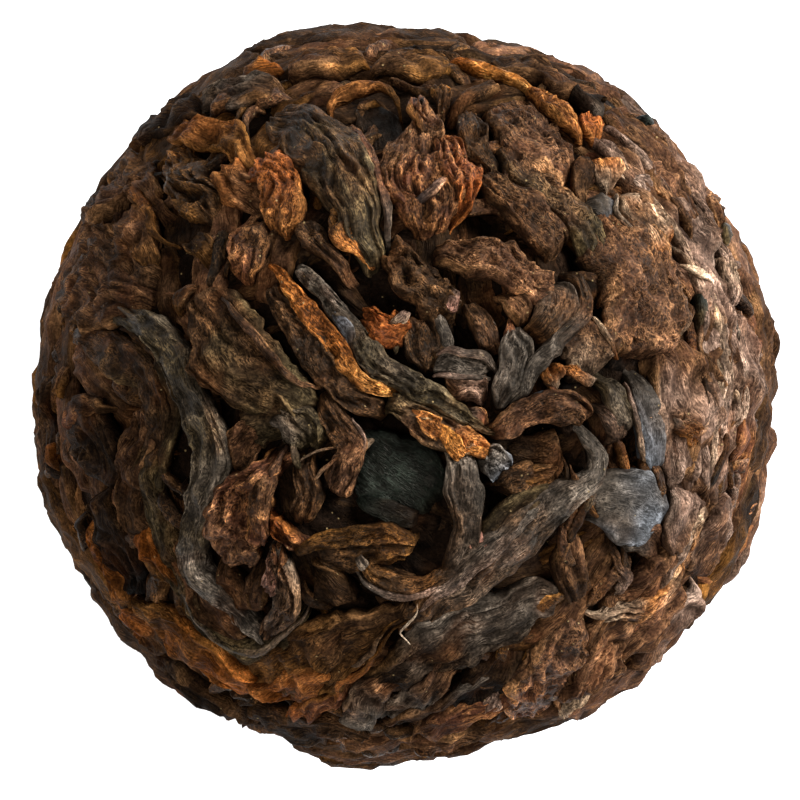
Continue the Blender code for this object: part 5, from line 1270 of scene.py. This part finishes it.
        ((6.5, -10.0, 0.05), (6.1, -10.4, 0.15), (5.6, -10.7, 0.12), (5.2, -11.0, 0.0)),
        sink=(0.3, 0.3)),
    Row("white_hair", M.ROLLED, (H.CREAM, H.CREAM), (0.03, 0.06, 0.07, 0.06, 0.04), 0.06,
        ((0.45, -6.95, 0.4), (0.4, -7.4, 0.45), (0.15, -7.8, 0.48), (-0.1, -8.15, 0.46),
         (0.15, -8.45, 0.4)), root=0.06, sink=(0.0, 0.0)),
    Row("smooth_cheek", M.BAND, (H.BROWN, H.CLAY), (1.2, 2.28, 2.4, 2.28, 1.92, 0.96), 0.18,
        ((9.0, 2.2, 0.0), (9.4, 1.0, 0.1), (9.7, -0.2, 0.12), (9.8, -1.4, 0.12), (9.7, -2.6, 0.1),
         (9.4, -3.8, 0.0))),
    Row("cheek_tuft", M.CRUMPLED, (H.GREY, H.AMBER), (0.3, 0.6, 0.6, 0.3), 0.2,
        ((9.1, -0.4, 0.1), (9.4, -0.9, 0.3), (9.8, -1.3, 0.3), (10.0, -1.9, 0.1)),
        sink=(0.3, 0.3), blunt=0.3),
    Row("right_ground", M.BAND, (H.BROWN, H.CLAY), (1.4, 2.4, 2.6, 2.4, 1.4), 0.3,
        ((6.0, 9.6, -0.1), (7.6, 8.2, 0.0), (8.9, 6.6, 0.0), (9.8, 4.8, 0.0), (10.4, 2.8, -0.1))),
    Row("second_ground", M.BAND, (H.CLAY, H.BROWN), (1.4, 2.2, 2.4, 2.2, 1.4), 0.3,
        ((10.4, 3.2, -0.1), (10.9, 1.4, 0.0), (10.9, -0.6, 0.0), (10.5, -2.6, 0.0),
         (9.6, -4.8, -0.1))),
    Row("third_ground", M.BAND, (H.CHESTNUT, H.BROWN), (1.2, 2.2, 2.4, 2.0, 1.2), 0.3,
        ((10.0, -4.2, -0.1), (9.2, -5.9, 0.0), (8.0, -7.5, 0.0), (6.6, -8.9, 0.0),
         (5.2, -10.2, -0.1))),
    Row("dark_lobe", M.BAND, (H.CHAR, H.GREY), (0.5, 0.9, 0.6), 0.4,
        ((6.1, 10.4, 0.1), (6.5, 10.1, 0.3), (6.9, 9.7, 0.1)), sink=(0.2, 0.2)),
    # Thin near-black sheets laid in the gaps between the right-hand bands: their colour paints the gaps'
    # shade
    Row("right_gap_shade", M.SHEET, (H.PITCH, H.CHAR), (0.12, 0.24, 0.26, 0.2, 0.1), 0.05,
        ((10.35, 0.9, 0.14), (10.35, 0.3, 0.22), (10.4, -0.4, 0.22), (10.5, -1.4, 0.14)), root=0.3,
        sink=(0.2, 0.2)),
    Row("lower_gap_shade", M.SHEET, (H.PITCH, H.CHAR), (0.14, 0.26, 0.3, 0.28, 0.14), 0.05,
        ((11.0, -0.8, 0.12), (10.95, -1.6, 0.2), (10.65, -2.6, 0.2), (10.1, -3.4, 0.12)), root=0.3,
        sink=(0.2, 0.2)),
    Row("right_band", M.BAND, (H.CLAY, H.BROWN), (0.72, 1.32, 1.44, 1.32, 0.72), 0.23,
        ((10.1, 5.1, 0.0), (10.5, 3.7, 0.1), (10.7, 2.2, 0.12), (10.7, 0.7, 0.12), (10.6, -0.8, 0.0))),
    Row("tan_rim_line", M.SHEET, (H.BUFF, H.CLAY), (0.26, 0.45, 0.45, 0.45, 0.26), 0.15,
        ((10.3, 4.0, 0.1), (10.8, 2.6, 0.2), (11.0, 1.1, 0.2), (10.95, -0.6, 0.2), (10.8, -2.2, 0.0)),
        sink=(0.3, 0.3)),
    Row("right_rim_band", M.BAND, (H.CLAY, H.RUSSET), (0.72, 1.2, 1.2, 1.2, 0.72), 0.22,
        ((11.4, 3.2, 0.0), (11.7, 1.8, 0.1), (11.8, 0.3, 0.1), (11.7, -1.2, 0.1), (11.4, -2.7, 0.0))),
    Row("rim_patch_one", M.SHEET, (H.TAN, H.CLAY), (0.34, 0.8, 0.69, 0.34), 0.15,
        ((11.3, 0.8, 0.02), (11.45, 0.1, 0.12), (11.45, -0.7, 0.12), (11.3, -1.4, 0.0)),
        sink=(0.3, 0.3)),
    Row("rim_patch_two", M.SHEET, (H.GREY, H.CHAR), (0.34, 0.69, 0.57, 0.34), 0.15,
        ((11.2, 2.9, 0.02), (11.35, 2.3, 0.1), (11.4, 1.7, 0.1), (11.3, 1.1, 0.0)), sink=(0.3, 0.3)),
    Row("rim_patch_three", M.SHEET, (H.BUFF, H.CLAY), (0.34, 0.8, 0.8, 0.34), 0.15,
        ((10.9, 4.9, 0.0), (11.1, 4.2, 0.1), (11.3, 3.5, 0.1), (11.4, 2.8, 0.0)), sink=(0.3, 0.3)),
    Row("right_jaw", M.BAND, (H.CLAY, H.CHESTNUT), (0.72, 1.32, 1.44, 0.84), 0.25,
        ((11.2, -2.9, 0.0), (10.9, -4.1, 0.1), (10.4, -5.3, 0.1), (9.6, -6.5, 0.0))),
    Row("jaw_line", M.SHEET, (H.BUFF, H.AMBER), (0.26, 0.45, 0.39, 0.26), 0.15,
        ((10.3, -3.2, 0.05), (10.1, -4.1, 0.18), (9.8, -5.0, 0.18), (9.3, -5.8, 0.0))),
    Row("olive_cheek", M.BAND, (H.CLAY, H.BROWN), (0.6, 1.2, 1.2, 0.72), 0.23,
        ((9.5, -2.8, 0.0), (9.5, -3.7, 0.1), (9.5, -4.6, 0.1), (9.3, -5.6, 0.0))),
    Row("lower_cheek", M.BAND, (H.CHESTNUT, H.RUSSET), (0.72, 1.44, 1.32, 0.72), 0.23,
        ((9.7, -6.0, 0.0), (9.1, -6.9, 0.1), (8.4, -7.7, 0.1), (7.6, -8.6, 0.0))),
    Row("lower_jaw", M.BAND, (H.CLAY, H.BROWN), (0.72, 1.32, 1.32, 0.72), 0.23,
        ((10.4, -6.3, 0.0), (9.6, -7.4, 0.1), (8.6, -8.6, 0.1), (7.4, -9.7, 0.0))),
    Row("upper_right_band", M.BAND, (H.BROWN, H.CHESTNUT), (0.84, 1.44, 1.56, 1.44, 0.84), 0.24,
        ((6.6, 10.0, 0.0), (7.8, 9.0, 0.1), (8.7, 7.9, 0.15), (9.4, 6.8, 0.15), (9.9, 5.6, 0.0))),
    Row("upper_right_rim", M.BAND, (H.BROWN, H.CLAY), (0.72, 1.2, 1.32, 0.84), 0.23,
        ((7.8, 9.6, 0.0), (9.1, 8.3, 0.1), (10.2, 6.9, 0.1), (11.1, 5.2, 0.0))),
    Row("orange_rim_patch", M.SHEET, (H.RUSSET, H.BROWN), (0.34, 0.8, 0.8, 0.34), 0.15,
        ((10.2, 7.2, 0.0), (10.5, 6.6, 0.1), (10.8, 6.0, 0.1), (11.0, 5.4, 0.0)), sink=(0.3, 0.3)),
    Row("green_spot", M.SMOOTH, (H.GREEN, H.GREEN), (0.2, 0.45, 0.2), 0.22,
        ((8.0, 9.7, 0.1), (8.3, 9.5, 0.2), (8.6, 9.2, 0.1)), sink=(0.2, 0.2)),
    Row("second_green_spot", M.SMOOTH, (H.GREEN, H.OLIVE), (0.2, 0.4, 0.2), 0.2,
        ((11.0, 5.9, 0.1), (11.1, 5.5, 0.2), (11.2, 5.1, 0.1)), sink=(0.2, 0.2)),
    Row("green_sliver", M.SMOOTH, (H.GREEN, H.OLIVE), (0.2, 0.4, 0.35, 0.2), 0.22,
        ((10.1, 3.9, 0.1), (10.2, 3.3, 0.2), (10.3, 2.8, 0.2), (10.3, 2.3, 0.1)), sink=(0.2, 0.2)),
    Row("top_right_rim", M.BAND, (H.DARK, H.BROWN), (0.72, 1.32, 1.32, 0.84), 0.24,
        ((2.7, 11.6, 0.0), (4.2, 11.2, 0.1), (5.7, 10.6, 0.1), (7.0, 9.8, 0.0))),
    Row("rim_line_one", M.SHEET, (H.CLAY, H.BROWN), (0.16, 0.29, 0.31, 0.26, 0.16), 0.12,
        ((6.6, 9.5, 0.1), (7.7, 8.6, 0.2), (8.6, 7.6, 0.2), (9.4, 6.4, 0.2), (10.0, 5.2, 0.1)),
        sink=(0.3, 0.3)),
    Row("rim_line_two", M.SHEET, (H.BUFF, H.CLAY), (0.16, 0.26, 0.29, 0.26, 0.16), 0.12,
        ((7.9, 7.3, 0.1), (8.8, 6.3, 0.2), (9.6, 5.1, 0.2), (10.2, 3.9, 0.2), (10.6, 2.6, 0.1)),
        sink=(0.3, 0.3)),
    Row("rim_line_three", M.SHEET, (H.BROWN, H.CLAY), (0.2, 0.39, 0.42, 0.36, 0.2), 0.12,
        ((8.3, 8.9, 0.0), (9.4, 7.6, 0.1), (10.3, 6.2, 0.1), (11.0, 4.7, 0.1), (11.4, 3.2, 0.0)),
        sink=(0.3, 0.3)),
    Row("rim_line_four", M.SHEET, (H.BUFF, H.CLAY), (0.16, 0.26, 0.26, 0.16), 0.12,
        ((9.3, 5.4, 0.1), (9.9, 4.2, 0.2), (10.3, 3.0, 0.2), (10.4, 1.8, 0.1)), sink=(0.3, 0.3)),
    Row("rim_line_five", M.SHEET, (H.TAN, H.CLAY), (0.16, 0.31, 0.31, 0.29, 0.16), 0.12,
        ((10.6, 1.9, 0.05), (10.75, 0.6, 0.18), (10.7, -0.8, 0.18), (10.5, -2.2, 0.18),
         (10.1, -3.5, 0.05)), sink=(0.3, 0.3)),
    Row("rim_line_six", M.SHEET, (H.CLAY, H.BUFF), (0.16, 0.33, 0.33, 0.16), 0.12,
        ((9.9, -3.4, 0.05), (9.7, -4.8, 0.15), (9.1, -6.1, 0.15), (8.2, -7.4, 0.0)),
        sink=(0.3, 0.3)),
)


def build_piece(name: str, leaves: Iterable[Leaf], material: bpy.types.Material) -> None:
    """Make one piece of many leaves.

    Args:
        name: name of the piece.
        leaves: the leaves, in the order in which they are drawn.
        material: finish of the piece.
    """
    bundle = Bundle(name)
    for leaf in leaves:
        bundle.add(leaf.patch())
    bundle.build(material)


@dataclass(frozen=True)
class Fit:
    """How leaves of one make are fitted to the plan."""

    spread: float = 1.0          # times the planned width, where that isn't narrow
    flatness: float = 0.8        # times the planned crown
    blunt: float = 0.0           # least bluntness of the ends
    step: float = 0.078          # size of a face


FITS = {M.PRESSED: Fit(spread=1.15), M.FLAKY: Fit(spread=1.15),
        M.BAND: Fit(spread=1.3, flatness=0.6, blunt=0.4, step=0.11)}


@dataclass
class FrontLeaves:
    """The leaves that show on top, one by one."""

    rows: tuple[Row, ...] = ROWS
    narrow: float = 0.45             # a width up to this is kept as planned
    shallow_root: float = 0.35       # depth of the root, before what the width adds
    root_by_width: float = 0.2       # added for each millimetre of width
    deep_root: float = 0.9           # and the most it may come to
    first_seed: float = 1.0
    seed_step: float = 0.37

    def leaf(self, number: int, row: Row) -> Leaf:
        """Turn one row of the plan to its leaf, whose root is deeper the wider it is.

        Args:
            number: the row's number, which picks its own part of every noise.
            row: the row.

        Returns:
            The leaf.
        """
        fit = FITS.get(row.make, Fit())
        root = row.root or min(self.shallow_root + self.root_by_width * max(row.widths),
                               self.deep_root)
        widths = [width * (fit.spread if width > self.narrow else 1.0) for width in row.widths]
        return Leaf(BALL.spot(row.plan), widths, row.crown * fit.flatness, row.make, row.hues,
                    self.first_seed + self.seed_step * number, root=root, step=fit.step,
                    blunt=max(row.blunt, fit.blunt), sink=row.sink, lean=row.lean)

    def build(self, finishes: dict[Make, bpy.types.Material]) -> None:
        """Make one piece for each way of drying.

        Args:
            finishes: the material of each.
        """
        for make, material in finishes.items():
            leaves = (self.leaf(number, row) for number, row in enumerate(self.rows)
                      if row.make is make)
            build_piece(f"{make.name.lower()}_leaves", leaves, material)


def turned(place: Array, course: Array, angle: float) -> Array:
    """Turn a heading about a unit vector: heading by cosine plus the cross product by sine."""
    return course * math.cos(angle) + np.cross(place, course) * math.sin(angle)


def arc(start: Array, course: Array, length: float, bend: float, steps: int = 4) -> Array:
    """Unit vectors along an arc over the ball that turns steadily as it goes.

    Args:
        start: unit vector where it starts.
        course: heading there, at a right angle to it.
        length: in millimetres on the ball.
        bend: degrees that the heading turns by in all.
        steps: how many steps it is made in.

    Returns:
        One unit vector more than the steps.
    """
    way = [start]
    step = length / steps / BALL.radius
    for _ in range(steps):
        place = way[-1]
        ahead = place * math.cos(step) + course * math.sin(step)
        course = course * math.cos(step) - place * math.sin(step)
        course = turned(ahead, course, math.radians(bend / steps))
        way.append(ahead)
    return np.array(way)


def along_course(place: Array, swing: float, stray: float) -> Array:
    """Heading of the leaves at a unit vector: level round the ball, turned by a slow noise.

    Args:
        place: the unit vector.
        swing: share of the turn that the noise gives.
        stray: further turn, in radians.

    Returns:
        The heading.
    """
    level = np.cross((0.0, 0.0, 1.0), place)
    level /= np.linalg.norm(level)
    x, y, z = place * BALL.radius / 6.0
    noise = float(WEAVE.at(np.array([x]), np.array([y]), np.array([z + 3.0]))[0])
    return turned(place, level, swing * noise * COURSE_TURN + stray)


def belt(count: int, top: float, drop: float, stray: float,
         chance: np.random.Generator) -> Iterator[tuple[int, Array]]:
    """Places at even spacing over a belt of the ball, from its top down.

    Args:
        count: how many places.
        top: height of the belt's top as a share of the radius.
        drop: how far down it reaches, as the same share.
        stray: most that a place's bearing is off, in radians.
        chance: where the bearings' strays are drawn, one for each place.

    Yields:
        Each place's number and its unit vector.
    """
    for number in range(count):
        height = top - drop * (number + 0.5) / count
        bearing = number * GOLDEN_ANGLE + chance.uniform(-stray, stray)
        flat = math.sqrt(1.0 - height * height)
        yield number, np.array((flat * math.cos(bearing), flat * math.sin(bearing), height))


def outer_radius(way: Array, lift: float) -> Array:
    """Radius of the pressed surface towards unit vectors, with its lumps."""
    bearing = np.degrees(np.arctan2(way[:, 1], way[:, 0]))
    return BALL.radius + lift + BALL.girth(bearing) * np.hypot(way[:, 0], way[:, 1]) ** 4


@dataclass
class WrapLeaves:
    """Leaves wound round the sides and underneath: the solid's own, and finer ones over them."""

    rings: tuple[tuple[float, int], ...] = (
        (76.0, 11), (92.0, 11), (108.0, 10), (125.0, 8), (145.0, 5), (166.0, 2))
    length: tuple[float, float] = (6.5, 9.5)
    width: tuple[float, float] = (2.0, 3.0)
    lift: tuple[float, float] = (-0.15, 0.05)
    crown: float = 0.45
    slope: float = 32.0
    bend: float = 28.0
    seed: int = 41
    # The finer ones
    fine_count: int = 270
    fine_seed: int = 77
    fine_top: float = 0.42                  # as a share of the radius, like the drop
    fine_drop: float = 1.40
    fine_length: tuple[float, float] = (4.5, 9.0)
    fine_width: tuple[float, float] = (0.7, 1.8)
    fine_lift: tuple[float, float] = (-0.38, -0.1)
    fine_bend: float = 35.0
    fine_crown: float = 0.32

    def broad(self) -> Iterator[Leaf]:
        """The solid's leaves, from the same draws."""
        chance = np.random.default_rng(self.seed)
        hues = np.random.default_rng(self.seed + 1)
        for ring, (polar, count) in enumerate(self.rings):
            for place in range(count):
                bearing = 360.0 * (place + 0.5 * (ring % 2) + chance.uniform(-0.2, 0.2)) / count
                p, b = math.radians(polar + chance.uniform(-4.0, 4.0)), math.radians(bearing)
                start = np.array((math.sin(p) * math.cos(b), math.sin(p) * math.sin(b), math.cos(p)))
                slope = math.radians(chance.uniform(-self.slope, self.slope))
                course = along_course(start, 0.0, slope)
                length = chance.uniform(*self.length)
                middle = arc(start, -course, length / 2, 0.0)[-1]
                course = course - middle * np.dot(course, middle)
                course /= np.linalg.norm(course)
                bend = chance.uniform(-self.bend, self.bend)
                width = chance.uniform(*self.width)
                way = arc(middle, course, length, bend)
                ridge = way * outer_radius(way, chance.uniform(*self.lift))[:, None]
                yield Leaf(ridge, (0.7 * width, width, width, 0.7 * width), self.crown,
                           M.WOUND, pick_hues(hues, start), 200.0 + hues.uniform(0.0, 50.0),
                           root=0.8, step=0.24)

    def fine(self) -> Iterator[Leaf]:
        """Narrow strips wound over them, at even spacing over the sides and underneath."""
        chance = np.random.default_rng(self.fine_seed)
        for number, start in belt(self.fine_count, self.fine_top, self.fine_drop, 0.3, chance):
            course = along_course(start, 0.9, chance.uniform(-0.2, 0.2))
            length = chance.uniform(*self.fine_length)
            way = arc(start, course, length, chance.uniform(-self.fine_bend, self.fine_bend))
            width = chance.uniform(*self.fine_width)
            ridge = way * outer_radius(way, chance.uniform(*self.fine_lift))[:, None]
            yield Leaf(ridge, (0.6 * width, width, 0.9 * width, 0.5 * width), self.fine_crown,
                       M.WOUND, pick_hues(chance, start), 300.0 + number, root=0.4, step=0.27)

    def build(self, material: bpy.types.Material) -> None:
        """Make the two pieces."""
        build_piece("wound_leaves", self.broad(), material)
        build_piece("wound_strips", self.fine(), material)


def pick_hues(chance: np.random.Generator, place: Array) -> tuple[Hue, Hue]:
    """Draw a strip's colours: mostly lighter and redder at the far right, dark elsewhere."""
    plain = (H.DARK, H.BROWN, H.UMBER, H.DARK, H.CHESTNUT, H.CHAR)
    light = (H.CLAY, H.CHESTNUT, H.BROWN, H.DARK, H.RUSSET, H.CLAY)
    choice = light if place[0] > 0.72 and chance.random() < 0.8 else plain
    first, second = chance.integers(len(choice), size=2)
    return choice[int(first)], choice[int(second)]


@dataclass
class FillerLeaves:
    """Leaves that lie under and between the ones on top, hugging the core."""

    count: int = 150
    reach: float = 12.2                     # radius on the plan that they cover
    seed: int = 9
    length: tuple[float, float] = (3.0, 6.5)
    width: tuple[float, float] = (0.7, 1.7)
    lift: tuple[float, float] = (-0.1, 0.2)
    bend: float = 40.0
    crown: float = 0.35
    shade: float = 8.0                      # within this radius only the darkest colours: the inner leaves' own, and painted shade under the leaves on top
    rim: float = 9.0                        # beyond this radius they lie higher
    rim_lift: float = 0.2

    def leaves(self) -> Iterator[Leaf]:
        """Strips at even spacing over the top, mostly wound round the knot."""
        chance = np.random.default_rng(self.seed)
        for number in range(self.count):
            away = self.reach * math.sqrt((number + 0.5) / self.count)
            bearing = number * GOLDEN_ANGLE
            x, y = away * math.cos(bearing), away * math.sin(bearing)
            start = BALL.spot(((x, y, 0.0),))[0]
            start /= np.linalg.norm(start)
            course = along_course(start, 1.0, chance.uniform(-0.25, 0.25))
            length = chance.uniform(*self.length)
            way = arc(start, course, length, chance.uniform(-self.bend, self.bend))
            width = chance.uniform(*self.width)
            lift = chance.uniform(*self.lift) + (self.rim_lift if away > self.rim else 0.0)
            ridge = way * (BALL.core_radius(way) + lift)[:, None]
            # Near the middle the fillers take the darkest colours: partly their own, partly painted shade
            # under the leaves on top
            hues = pick_hues(chance, start) if away > self.shade else (
                (H.CHAR, H.PITCH, H.DARK, H.PITCH)[int(chance.integers(4))],
                (H.CHAR, H.PITCH, H.CHAR)[int(chance.integers(3))])
            yield Leaf(ridge, (0.6 * width, width, 0.9 * width, 0.6 * width), self.crown, M.WOUND,
                       hues, 700.0 + number, root=0.5, step=0.18)

    def build(self, material: bpy.types.Material) -> None:
        """Make the piece."""
        build_piece("under_leaves", self.leaves(), material)


@dataclass
class Shreds:
    """Thin torn shreds and fibres that cling to the leaves, lying along their course."""

    count: int = 300
    seed: int = 23
    top: float = 0.85                       # as a share of the radius, like the drop
    drop: float = 0.63
    length: tuple[float, float] = (0.9, 2.8)
    width: tuple[float, float] = (0.16, 0.5)
    bend: float = 70.0
    low: float = -0.3                       # least lift
    lift_by_height: float = 0.3             # most lift is this by the height, less the next
    lift_drop: float = 0.15
    crown: float = 0.16

    def leaves(self) -> Iterator[Leaf]:
        """Short narrow strips at even spacing round the knot and down the sides."""
        chance = np.random.default_rng(self.seed)
        for number, start in belt(self.count, self.top, self.drop, 0.4, chance):
            course = along_course(start, 1.0, chance.uniform(-0.6, 0.6))
            length = chance.uniform(*self.length)
            way = arc(start, course, length, chance.uniform(-self.bend, self.bend))
            high = self.lift_by_height * float(start[2]) - self.lift_drop
            ridge = way * outer_radius(way, chance.uniform(self.low, high))[:, None]
            width = chance.uniform(*self.width)
            yield Leaf(ridge, (0.5 * width, width, 0.8 * width, 0.4 * width), self.crown, M.FLAKY,
                       pick_hues(chance, start), 1100.0 + number, root=0.3, step=0.13,
                       sink=(0.5, 0.5), sink_reach=0.6)

    def build(self, material: bpy.types.Material) -> None:
        """Make the piece."""
        build_piece("shreds", self.leaves(), material)


@dataclass
class Core:
    """The dark mass of pressed leaf under the ones that show."""

    rows: int = 140
    columns: int = 210
    depth: float = 0.30          # of its puffs and valleys, in millimetres each way

    def build(self, material: bpy.types.Material) -> None:
        """Make the core: a sphere of the core's radius, with puffs between sharp valleys.

        The puffs lie in lanes that a slow noise bends, broad and narrow ones with fine wrinkles
        over them. Wherever a noise is read, each distance is over its size in millimetres.

        Args:
            material: its finish.
        """
        polar = np.linspace(0.0, math.pi, self.rows + 1)[:, None]
        bearing = np.linspace(0.0, 2.0 * math.pi, self.columns, endpoint=False)[None, :]
        way = np.stack((np.sin(polar) * np.cos(bearing), np.sin(polar) * np.sin(bearing),
                        np.cos(polar) + 0.0 * bearing), -1)
        x, y, z = (BALL.radius * way[..., k] for k in range(3))
        bend = 1.6 * WEAVE.at(x / 4.0, y / 4.0, z / 4.0) + 0.4 * WEAVE.at(x / 1.4, y / 1.4, z / 1.4)
        lane = BALL.radius * polar / 0.95 + 1.5 * bend
        puff = np.sqrt(np.abs(WEAVE.at(lane, x / 4.0 + bend, y / 4.0)) + 0.002)
        narrow = np.sqrt(np.abs(WEAVE.at(2.1 * lane, x / 1.6 + bend, y / 1.6 + 9.0)) + 0.002)
        fine = 1.0 - 2.4 * np.abs(WEAVE.at(x / 0.45, y / 0.45 + bend, z / 0.45))
        relief = np.clip(1.5 * puff + 0.8 * narrow - 1.35 + 0.2 * fine, -1.0, 1.0)
        points = way * (BALL.core_radius(way) + self.depth * relief)[..., None]
        chart = np.stack((bearing * BALL.radius + 0.0 * polar, polar * BALL.radius + 0.0 * bearing), -1)
        tone = (1.0 + 0.4 * WEAVE.at(x, y, z))[..., None]
        bundle = Bundle("core_mass")
        bundle.add(close_ends(points, chart, H.CHAR.body * tone, H.DARK.body * tone,
                              np.zeros(relief.shape), relief, np.full(relief.shape, 0.1)))
        bundle.build(material)


@dataclass(frozen=True)
class Lamp:
    """One soft box: where it stands from the ball's centre, its size, power and colour."""

    name: str
    place: Place
    size: float
    power: float
    colour: str


@dataclass
class Studio:
    """Pale floor, soft lights and the camera that looks straight down."""

    lamps: tuple[Lamp, ...] = (
        Lamp("key", (220.0, 120.0, 185.0), 150.0, 2.06, "f9fcff"),
        Lamp("fill", (-110.0, -50.0, 285.0), 240.0, 0.5, "fbfaf8"),
    )
    world: float = 0.165
    floor_reach: float = 1500.0
    floor_glow: float = 0.75
    frame_width: float = 27.12              # what the picture spans at the ball's centre
    sensor: float = 36.0
    eye: Place = (-0.136, -0.136, BALL.eye_height)    # from the ball's centre

    def floor(self) -> None:
        """Lay the floor: matt white card."""
        size = self.floor_reach * MM
        mesh = bpy.data.meshes.new("floor")
        mesh.from_pydata([(-size, -size, 0), (size, -size, 0), (size, size, 0), (-size, size, 0)],
                         [], [(0, 1, 2, 3)])
        thing = bpy.data.objects.new("floor", mesh)
        bpy.context.scene.collection.objects.link(thing)
        sheet = NodeSheet("white_card")
        sheet.to_surface("Base Color", (0.9, 0.9, 0.9, 1.0))
        sheet.to_surface("Roughness", 0.9)
        sheet.to_surface("Emission Color", (1.0, 1.0, 1.0, 1.0))
        sheet.to_surface("Emission Strength", self.floor_glow)
        mesh.materials.append(sheet.material)

    def lights(self) -> None:
        """Hang the soft boxes, each aimed at the ball's centre, and set the room's light."""
        centre = np.array((0.0, 0.0, BALL.centre_height))
        for lamp in self.lamps:
            data = bpy.data.lights.new(lamp.name, "AREA")
            data.shape = "SQUARE"
            data.size = lamp.size * MM
            data.energy = lamp.power
            data.color = linear(lamp.colour)
            thing = bpy.data.objects.new(lamp.name, data)
            place = np.array(lamp.place)
            thing.location = (place + centre) * MM
            thing.rotation_euler = face_from(place)
            bpy.context.scene.collection.objects.link(thing)
        world = bpy.data.worlds.new("room")
        world.use_nodes = True
        backdrop = world.node_tree.nodes["Background"]
        backdrop.inputs["Color"].default_value = (1.0, 1.0, 1.0, 1.0)
        backdrop.inputs["Strength"].default_value = self.world
        bpy.context.scene.world = world

    def camera(self) -> None:
        """Set the camera: its lens is the sensor by the distance over the width it frames."""
        data = bpy.data.cameras.new("camera")
        data.sensor_width = self.sensor
        data.lens = self.sensor * self.eye[2] / self.frame_width
        data.clip_start = 1.0 * MM
        thing = bpy.data.objects.new("camera", data)
        thing.location = (np.array(self.eye) + (0.0, 0.0, BALL.centre_height)) * MM
        bpy.context.scene.collection.objects.link(thing)
        bpy.context.scene.camera = thing
        bpy.context.scene.view_settings.view_transform = "Standard"

    def build(self) -> None:
        """Set up the whole studio."""
        self.floor()
        self.lights()
        self.camera()


def face_from(place: Array) -> tuple[float, float, float]:
    """Turn of a lamp that stands at a place and looks back at the centre."""
    x, y, z = place
    return math.atan2(math.hypot(x, y), z), 0.0, math.atan2(y, x) + 0.5 * math.pi


def main() -> None:
    """Build the ball's pieces in order, then the studio."""
    logging.basicConfig(level=logging.INFO, format="%(message)s")
    soft = LeafFinish("wound_leaf_skin", roughness=0.6, gloss=0.02, wrinkle_length=0.7,
                      contrast=0.7, bump=0.04, valley=0.26, grain=0.65).build()
    leaf = LeafFinish("dry_leaf_skin", roughness=0.6, gloss=0.03, wrinkle_length=0.45,
                      contrast=1.1, grain=0.9).build()
    band = LeafFinish("band_skin", roughness=0.62, gloss=0.02, wrinkle_length=0.8, warp=1.1,
                      contrast=1.0, valley=0.22, grain=0.8).build()
    sheet = LeafFinish("torn_sheet_skin", roughness=0.6, gloss=0.04, wrinkle=0.10,
                       wrinkle_length=0.8, warp=0.8, bump=0.05, valley=0.2, ridge=1.6,
                       contrast=1.25, glow=0.5).build()
    fibre = LeafFinish("fibrous_leaf_skin", gloss=0.1, wrinkle=0.09, wrinkle_length=0.32,
                       warp=1.1, bump=0.055, contrast=1.7, glow=0.4).build()
    rolled = LeafFinish("rolled_leaf_skin", roughness=0.5, gloss=0.15, wrinkle=0.09,
                        wrinkle_length=0.5, contrast=1.5).build()
    waxy = LeafFinish("waxy_leaf_skin", roughness=0.5, gloss=0.14, bump=0.035, granule=0.05,
                      wrinkle_length=0.5, valley=0.35, ridge=1.3, contrast=0.9, glow=0.15,
                      grain=0.85).build()
    crumpled = LeafFinish("crumpled_leaf_skin", gloss=0.1, wrinkle_length=0.24, warp=1.2,
                          bump=0.055, contrast=1.4, glow=0.4).build()
    FrontLeaves().build({M.PRESSED: leaf, M.ROLLED: rolled, M.FIBROUS: fibre,
                         M.CRUMPLED: crumpled, M.CUPPED: leaf, M.SMOOTH: waxy, M.FLAKY: crumpled,
                         M.BAND: band, M.SHEET: sheet})
    FillerLeaves().build(soft)
    Shreds().build(crumpled)
    WrapLeaves().build(soft)
    Core().build(soft)
    Studio().build()


if __name__ == "__main__":
    main()
